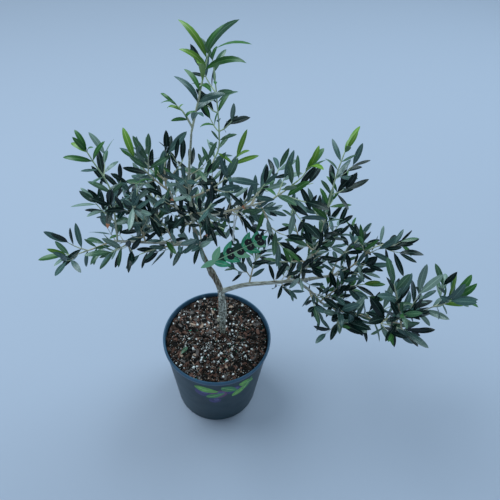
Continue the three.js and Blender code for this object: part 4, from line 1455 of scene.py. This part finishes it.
for mass in masses + bough_growth:
    looks = np.random.default_rng(mass["seed"] * 31 + mass["place"])
    fresh = FRESH.get(mass["name"], ())
    own_lines = {id(line): k for k, line in enumerate(mass["lines"])}
    for spray in mass["sprays"]:
        spray["kind"] = chosen(looks, SPRAY_KINDS, SPRAY_SHARES)
    for leaf in mass["leaves"]:
        line = own_lines.get(id(leaf["spray"]["line"]), -1)
        start = fresh[line] if 0 <= line < len(fresh) else NEVER
        kind = leaf["spray"]["kind"]
        if leaf["age"] >= start:
            kind = chosen(looks, FRESH_KINDS, FRESH_SHARES)
        elif looks.random() < OWN_COLOUR:
            kind = chosen(looks, SPRAY_KINDS, SPRAY_SHARES)
        young = kind in YOUNG_KINDS
        leaf["kind"] = LEAF_KINDS.index(kind)
        leaf["burnt"] = looks.random() < BURNT_SHARE and not young
        leaf["aspect"] = looks.uniform(*(YOUNG_ASPECT if young else OLD_ASPECT))
        if leaf["age"] > TIP_FROM:
            leaf["aspect"] *= SLENDER.get(mass["name"], 1)
        leaf["aspect"] *= BROAD.get(mass["name"], 1)
        leaf["arch"] = looks.normal(*(YOUNG_ARCH if young else OLD_ARCH)) + ARCHING.get(mass["name"], 0)
        leaf["fold"] = looks.uniform(*FOLD)
        leaf["curl"] = looks.uniform(*CURL)
        leaf["twist"] = looks.normal(*TWIST)
        leaf["roll"] = looks.normal(*ROLL)
        leaf["sweep"] = looks.normal(SWEEPS.get(mass["name"], SWEEP), SWEEP_SPREAD)

# Pieces of leaves: the masses that each replaces, then the boughs whose own side twigs it takes in
LEAF_GROUPS = {
    "leaves_top": (("top", "back_top"), ()),
    "leaves_centre": (
        ("centre_up", "centre_front_up", "centre_middle", "centre_front", "centre_back"), ("trunk",),
    ),
    "leaves_left": (
        ("upper_left", "left_up", "left_far", "left_middle", "left_inner", "left_low", "left_front",
         "left_back"),
        ("left_bough", "upper_left_bough"),
    ),
    "leaves_upper_right": (("upper_right", "right_hanging", "upper_right_back"), ("upper_right_bough",)),
    "leaves_back_right": (
        ("right_spur", "right_inner", "right_centre", "back_right", "back_right_inner", "back_right_low",
         "middle_right", "middle_right_back"),
        ("right_bough", "right_back_bough", "right_middle_bough"),
    ),
    "leaves_low_right": (
        ("low_right", "low_right_inner", "low_right_front", "right_front"), ("right_low_bough",),
    ),
}


def role_marks(kind):
    """Material marks of a leaf's faces, three to each kind of leaf."""
    return [kind * 3 + role for role in leaf_roles]


by_name = {growth["name"]: growth for growth in masses + bough_growth}
for group, (names, boughs) in LEAF_GROUPS.items():
    foliage = Build()
    for name in (*names, *boughs):
        for leaf in by_name[name]["leaves"]:
            marks = role_marks(leaf["kind"])
            if leaf["burnt"]:
                for f in tip_faces:
                    marks[f] = BURNT
            foliage.add(leaf_corners(leaf), leaf_pattern, marks)
    spray_leaves = foliage.make(group, leaf_finishes)
    mesh = spray_leaves.data
    margin = np.zeros(len(mesh.vertices), bool)
    for corner in [row + offset for row in range(0, tip, ROW_SIZE) for offset in MARGINS] + [tip]:
        margin[corner::tip + 1] = True
    ends = np.zeros(len(mesh.edges) * 2, int)
    mesh.edges.foreach_get("vertices", ends)
    ends = ends.reshape(-1, 2)
    mesh.edges.foreach_set("use_edge_sharp", margin[ends[:, 0]] & margin[ends[:, 1]])
    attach(spray_leaves, "root")
    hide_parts(*names)


# Fallen leaf on the potting mix
FALLEN_ROOT, FALLEN_TIP, FALLEN_LIFT = (-71, -47), (-57, -28), 3.5
FALLEN_LOOKS = {
    "aspect": 0.4, "roll": 0.15, "arch": 0.7, "fold": 0.3, "curl": 0.2, "twist": 0.3, "sweep": 0.1,
}
root = np.array([*FALLEN_ROOT, bed_height(*FALLEN_ROOT) + FALLEN_LIFT])
run = np.array([*FALLEN_TIP, bed_height(*FALLEN_TIP) + FALLEN_LIFT]) - root
along = unit(run)
face = unit(UP - along * along[2])
fallen = dict(FALLEN_LOOKS, root=root, length=float(np.linalg.norm(run)), direction=along, face=face)
litter = Build()
litter.add(leaf_corners(fallen), leaf_pattern, role_marks(LEAF_KINDS.index("green")))
fallen_leaf = litter.make("fallen_leaf", leaf_finishes)
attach(fallen_leaf, "root")


# Hang tag: a card cut out round a sprig of paired leaves and berries, and its string
CARD_LENGTH = 96
CARD_WIDTH = 19
TAB_RADIUS = 7.5
TAG_LEAF, TAG_LAST_LEAF = (32, 13.5), (24, 11)
TAG_LEAF_TURN = 40
TAG_PAIRS = {1: (-46, -23, 14, 34), -1: (-46, -26, -6, 14, 34)}
TAG_PALE = {1: (-46,), -1: (-6, 34)}
TAG_BERRY_PLACE = (13, 4.6)
TAG_BERRIES_FROM = -30
TAG_MIDRIB = 1.1
# Leaves at the card's two ends: [length and width, turn, place along the card]
TAG_FRONT_LEAF = ((28, 12), 0, 36)
TAG_REAR_LEAF = ((31, 11.5), 180, -42)
TAG_STEM = (104, 1.6)
CARD, LEAF, CREAM, BERRY, PALE = range(5)
# A berry and the light on it: [radius, shift, colour, height over its leaf]
TAG_DOTS = [(7, 0, BERRY, 0.2), (0.9, 1.5, CREAM, 0.26)]


def stadium(length, width, steps):
    half, end = length / 2 - width / 2, width / 2
    arc = np.linspace(-math.pi / 2, math.pi / 2, steps)
    outline = [[half + end * math.cos(a), end * math.sin(a)] for a in arc]
    outline += [[-half - end * math.cos(a), -end * math.sin(a)] for a in arc]
    return np.array(outline)


def ring_patch(inner, outer, sides):
    angles = round_angles(sides)
    circle = np.column_stack([np.cos(angles), np.sin(angles)])
    return np.concatenate([inner * circle, outer * circle]), band(0, sides, sides)


card = Build()


def to_card(patch, root, mark, lift):
    """Adds a flat shape to the card, through its whole thickness, with a cream back."""
    places, faces = patch
    add_print(card, on_card, places + root, faces, mark, lift, TAG_THICKNESS, CREAM)


def card_leaf(size, turn, root, mark, lift):
    add_leaf(card, on_card, size, turn, root, mark, lift, TAG_THICKNESS, CREAM)


CARD_TONES = [(0.3, (0.007, 0.045, 0.025)), (0.7, (0.014, 0.08, 0.045))]
TAG_LEAF_TONES = [(0.3, (0.025, 0.30, 0.14)), (0.7, (0.12, 0.66, 0.34))]
tag_finishes = [
    material("tag_card", (0.010, 0.060, 0.034), 0.4, CARD_TONES, scale=70, bump=0.03, bump_scale=700),
    material("tag_leaf", (0.04, 0.46, 0.22), 0.4, TAG_LEAF_TONES, scale=110),
    material("tag_cream", (0.52, 0.74, 0.46), 0.45, scale=110),
    material("tag_berry", (0.008, 0.004, 0.010), 0.35, scale=110),
    material("tag_pale_leaf", (0.34, 0.70, 0.40), 0.42, scale=110),
]
# Heights over the card: of its first leaf, from each leaf to the next, and of midribs over a leaf
FIRST_LAYER, LAYER, MIDRIB_LIFT, STEM_LIFT = 0.05, 0.02, 0.06, 0.26
PRINT_DEPTH = 0.1
outline = stadium(CARD_LENGTH, CARD_WIDTH, 15)
to_card((outline, [tuple(range(len(outline)))]), (0, 0), CARD, 0)
to_card(ring_patch(TAG_HOLE[2], TAB_RADIUS, 32), TAG_HOLE[:2], CARD, LAYER)
layer = FIRST_LAYER
for side, spots in TAG_PAIRS.items():
    for x in spots:
        length, width = TAG_LAST_LEAF if x == max(spots) else TAG_LEAF
        turn, root = side * TAG_LEAF_TURN, (x, side)
        midrib = (length * MIDRIB_LENGTH, TAG_MIDRIB)
        card_leaf((length, width), turn, root, PALE if x in TAG_PALE[side] else LEAF, layer)
        add_leaf(card, on_card, midrib, turn, root, CREAM, layer + MIDRIB_LIFT, PRINT_DEPTH, grid=MIDRIB_GRID)
        if x >= TAG_BERRIES_FROM:
            spot = np.array([x + TAG_BERRY_PLACE[0], side * TAG_BERRY_PLACE[1]])
            for radius, shift, mark, lift in TAG_DOTS:
                add_dot(card, on_card, radius, spot + shift, mark, layer + lift, PRINT_DEPTH, (3, 18))
        layer += LAYER
for (size, turn, x), mark in ((TAG_FRONT_LEAF, LEAF), (TAG_REAR_LEAF, PALE)):
    card_leaf(size, turn, (x, 0), mark, layer)
    layer += LAYER
stem_root = (-TAG_STEM[0] / 2, 0)
add_leaf(card, on_card, TAG_STEM, 0, stem_root, CREAM, layer + STEM_LIFT, PRINT_DEPTH, grid=(14, 2))
hang_tag = card.make("hang_tag", tag_finishes)
creased(hang_tag, 40)
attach(hang_tag, "root")
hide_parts("tag")

# String: a loop of two plies over the bough and through the tag's hole, knotted in front of the tag
LOOP_SIDE = 0.75
BEHIND_OUT, BEHIND_RISE, BEHIND_HOLE = 4, 8, 1.4
STRING_STEPS = 220
PLY_OFFSET, PLY_RADIUS, PLY_TURNS, PLY_SIDES = 0.5, 0.88, 23, 6
KNOT_SIZE = (2.0, 1.7, 1.8)
bough = limbs["upper_right_bough"]
point, out, over = tag["point"], tag["out"], tag["over"]
clear = bough["radii"][0] + (bough["radii"][1] - bough["radii"][0]) * TAG_SHARE + STRING_RADIUS + 2 * GAP
seat = TAG_HOLE[2] - STRING_RADIUS - 2 * GAP
front = unit(np.cross(tag["bough"], UP))
loop = [
    tag["hole"] + KNOT_OUT * out + KNOT_RISE * over,
    point + (clear + 1) * front - STRING_DROP * UP - STRAND_SPREAD * tag["bough"],
    point + LOOP_SIDE * clear * front + LOOP_SIDE * clear * UP,
    point + (clear + 2 * GAP) * UP,
    point - LOOP_SIDE * clear * front + LOOP_SIDE * clear * UP,
    point - (clear + 1) * front - STRING_DROP * UP + STRAND_SPREAD * tag["bough"],
    tag["hole"] - BEHIND_OUT * out + BEHIND_RISE * over,
    tag["hole"] - BEHIND_HOLE * out + seat * over,
    tag["hole"] + (TAG_THICKNESS + 1) * out + seat * over,
    tag["hole"] + KNOT_OUT * out + (KNOT_RISE - 0.5) * over,
]
string_finish = material("cotton_string", (1.0, 0.96, 0.94), 0.85, sheen=0.3, bump=0.1)
string = Build()
centre = np.array([smooth_curve(loop, share) for share in np.linspace(0, 1, STRING_STEPS)])
sides = np.array([across(unit(tangent)) for tangent in np.gradient(centre, axis=0)])
for strand in (0, math.pi):
    turns = np.linspace(0, 2 * math.pi * PLY_TURNS, STRING_STEPS)[:, None] + strand
    ply = centre + PLY_OFFSET * (np.cos(turns) * sides[:, 0] + np.sin(turns) * sides[:, 1])
    string.add(*tube(ply, np.full(STRING_STEPS, PLY_RADIUS), PLY_SIDES))
knot_corners, knot_faces = lump(3)
string.add(knot_corners * KNOT_SIZE + loop[0], knot_faces)
cord_loop = string.make("tag_string", [string_finish])
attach(cord_loop, "root")
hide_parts("tag_loop")
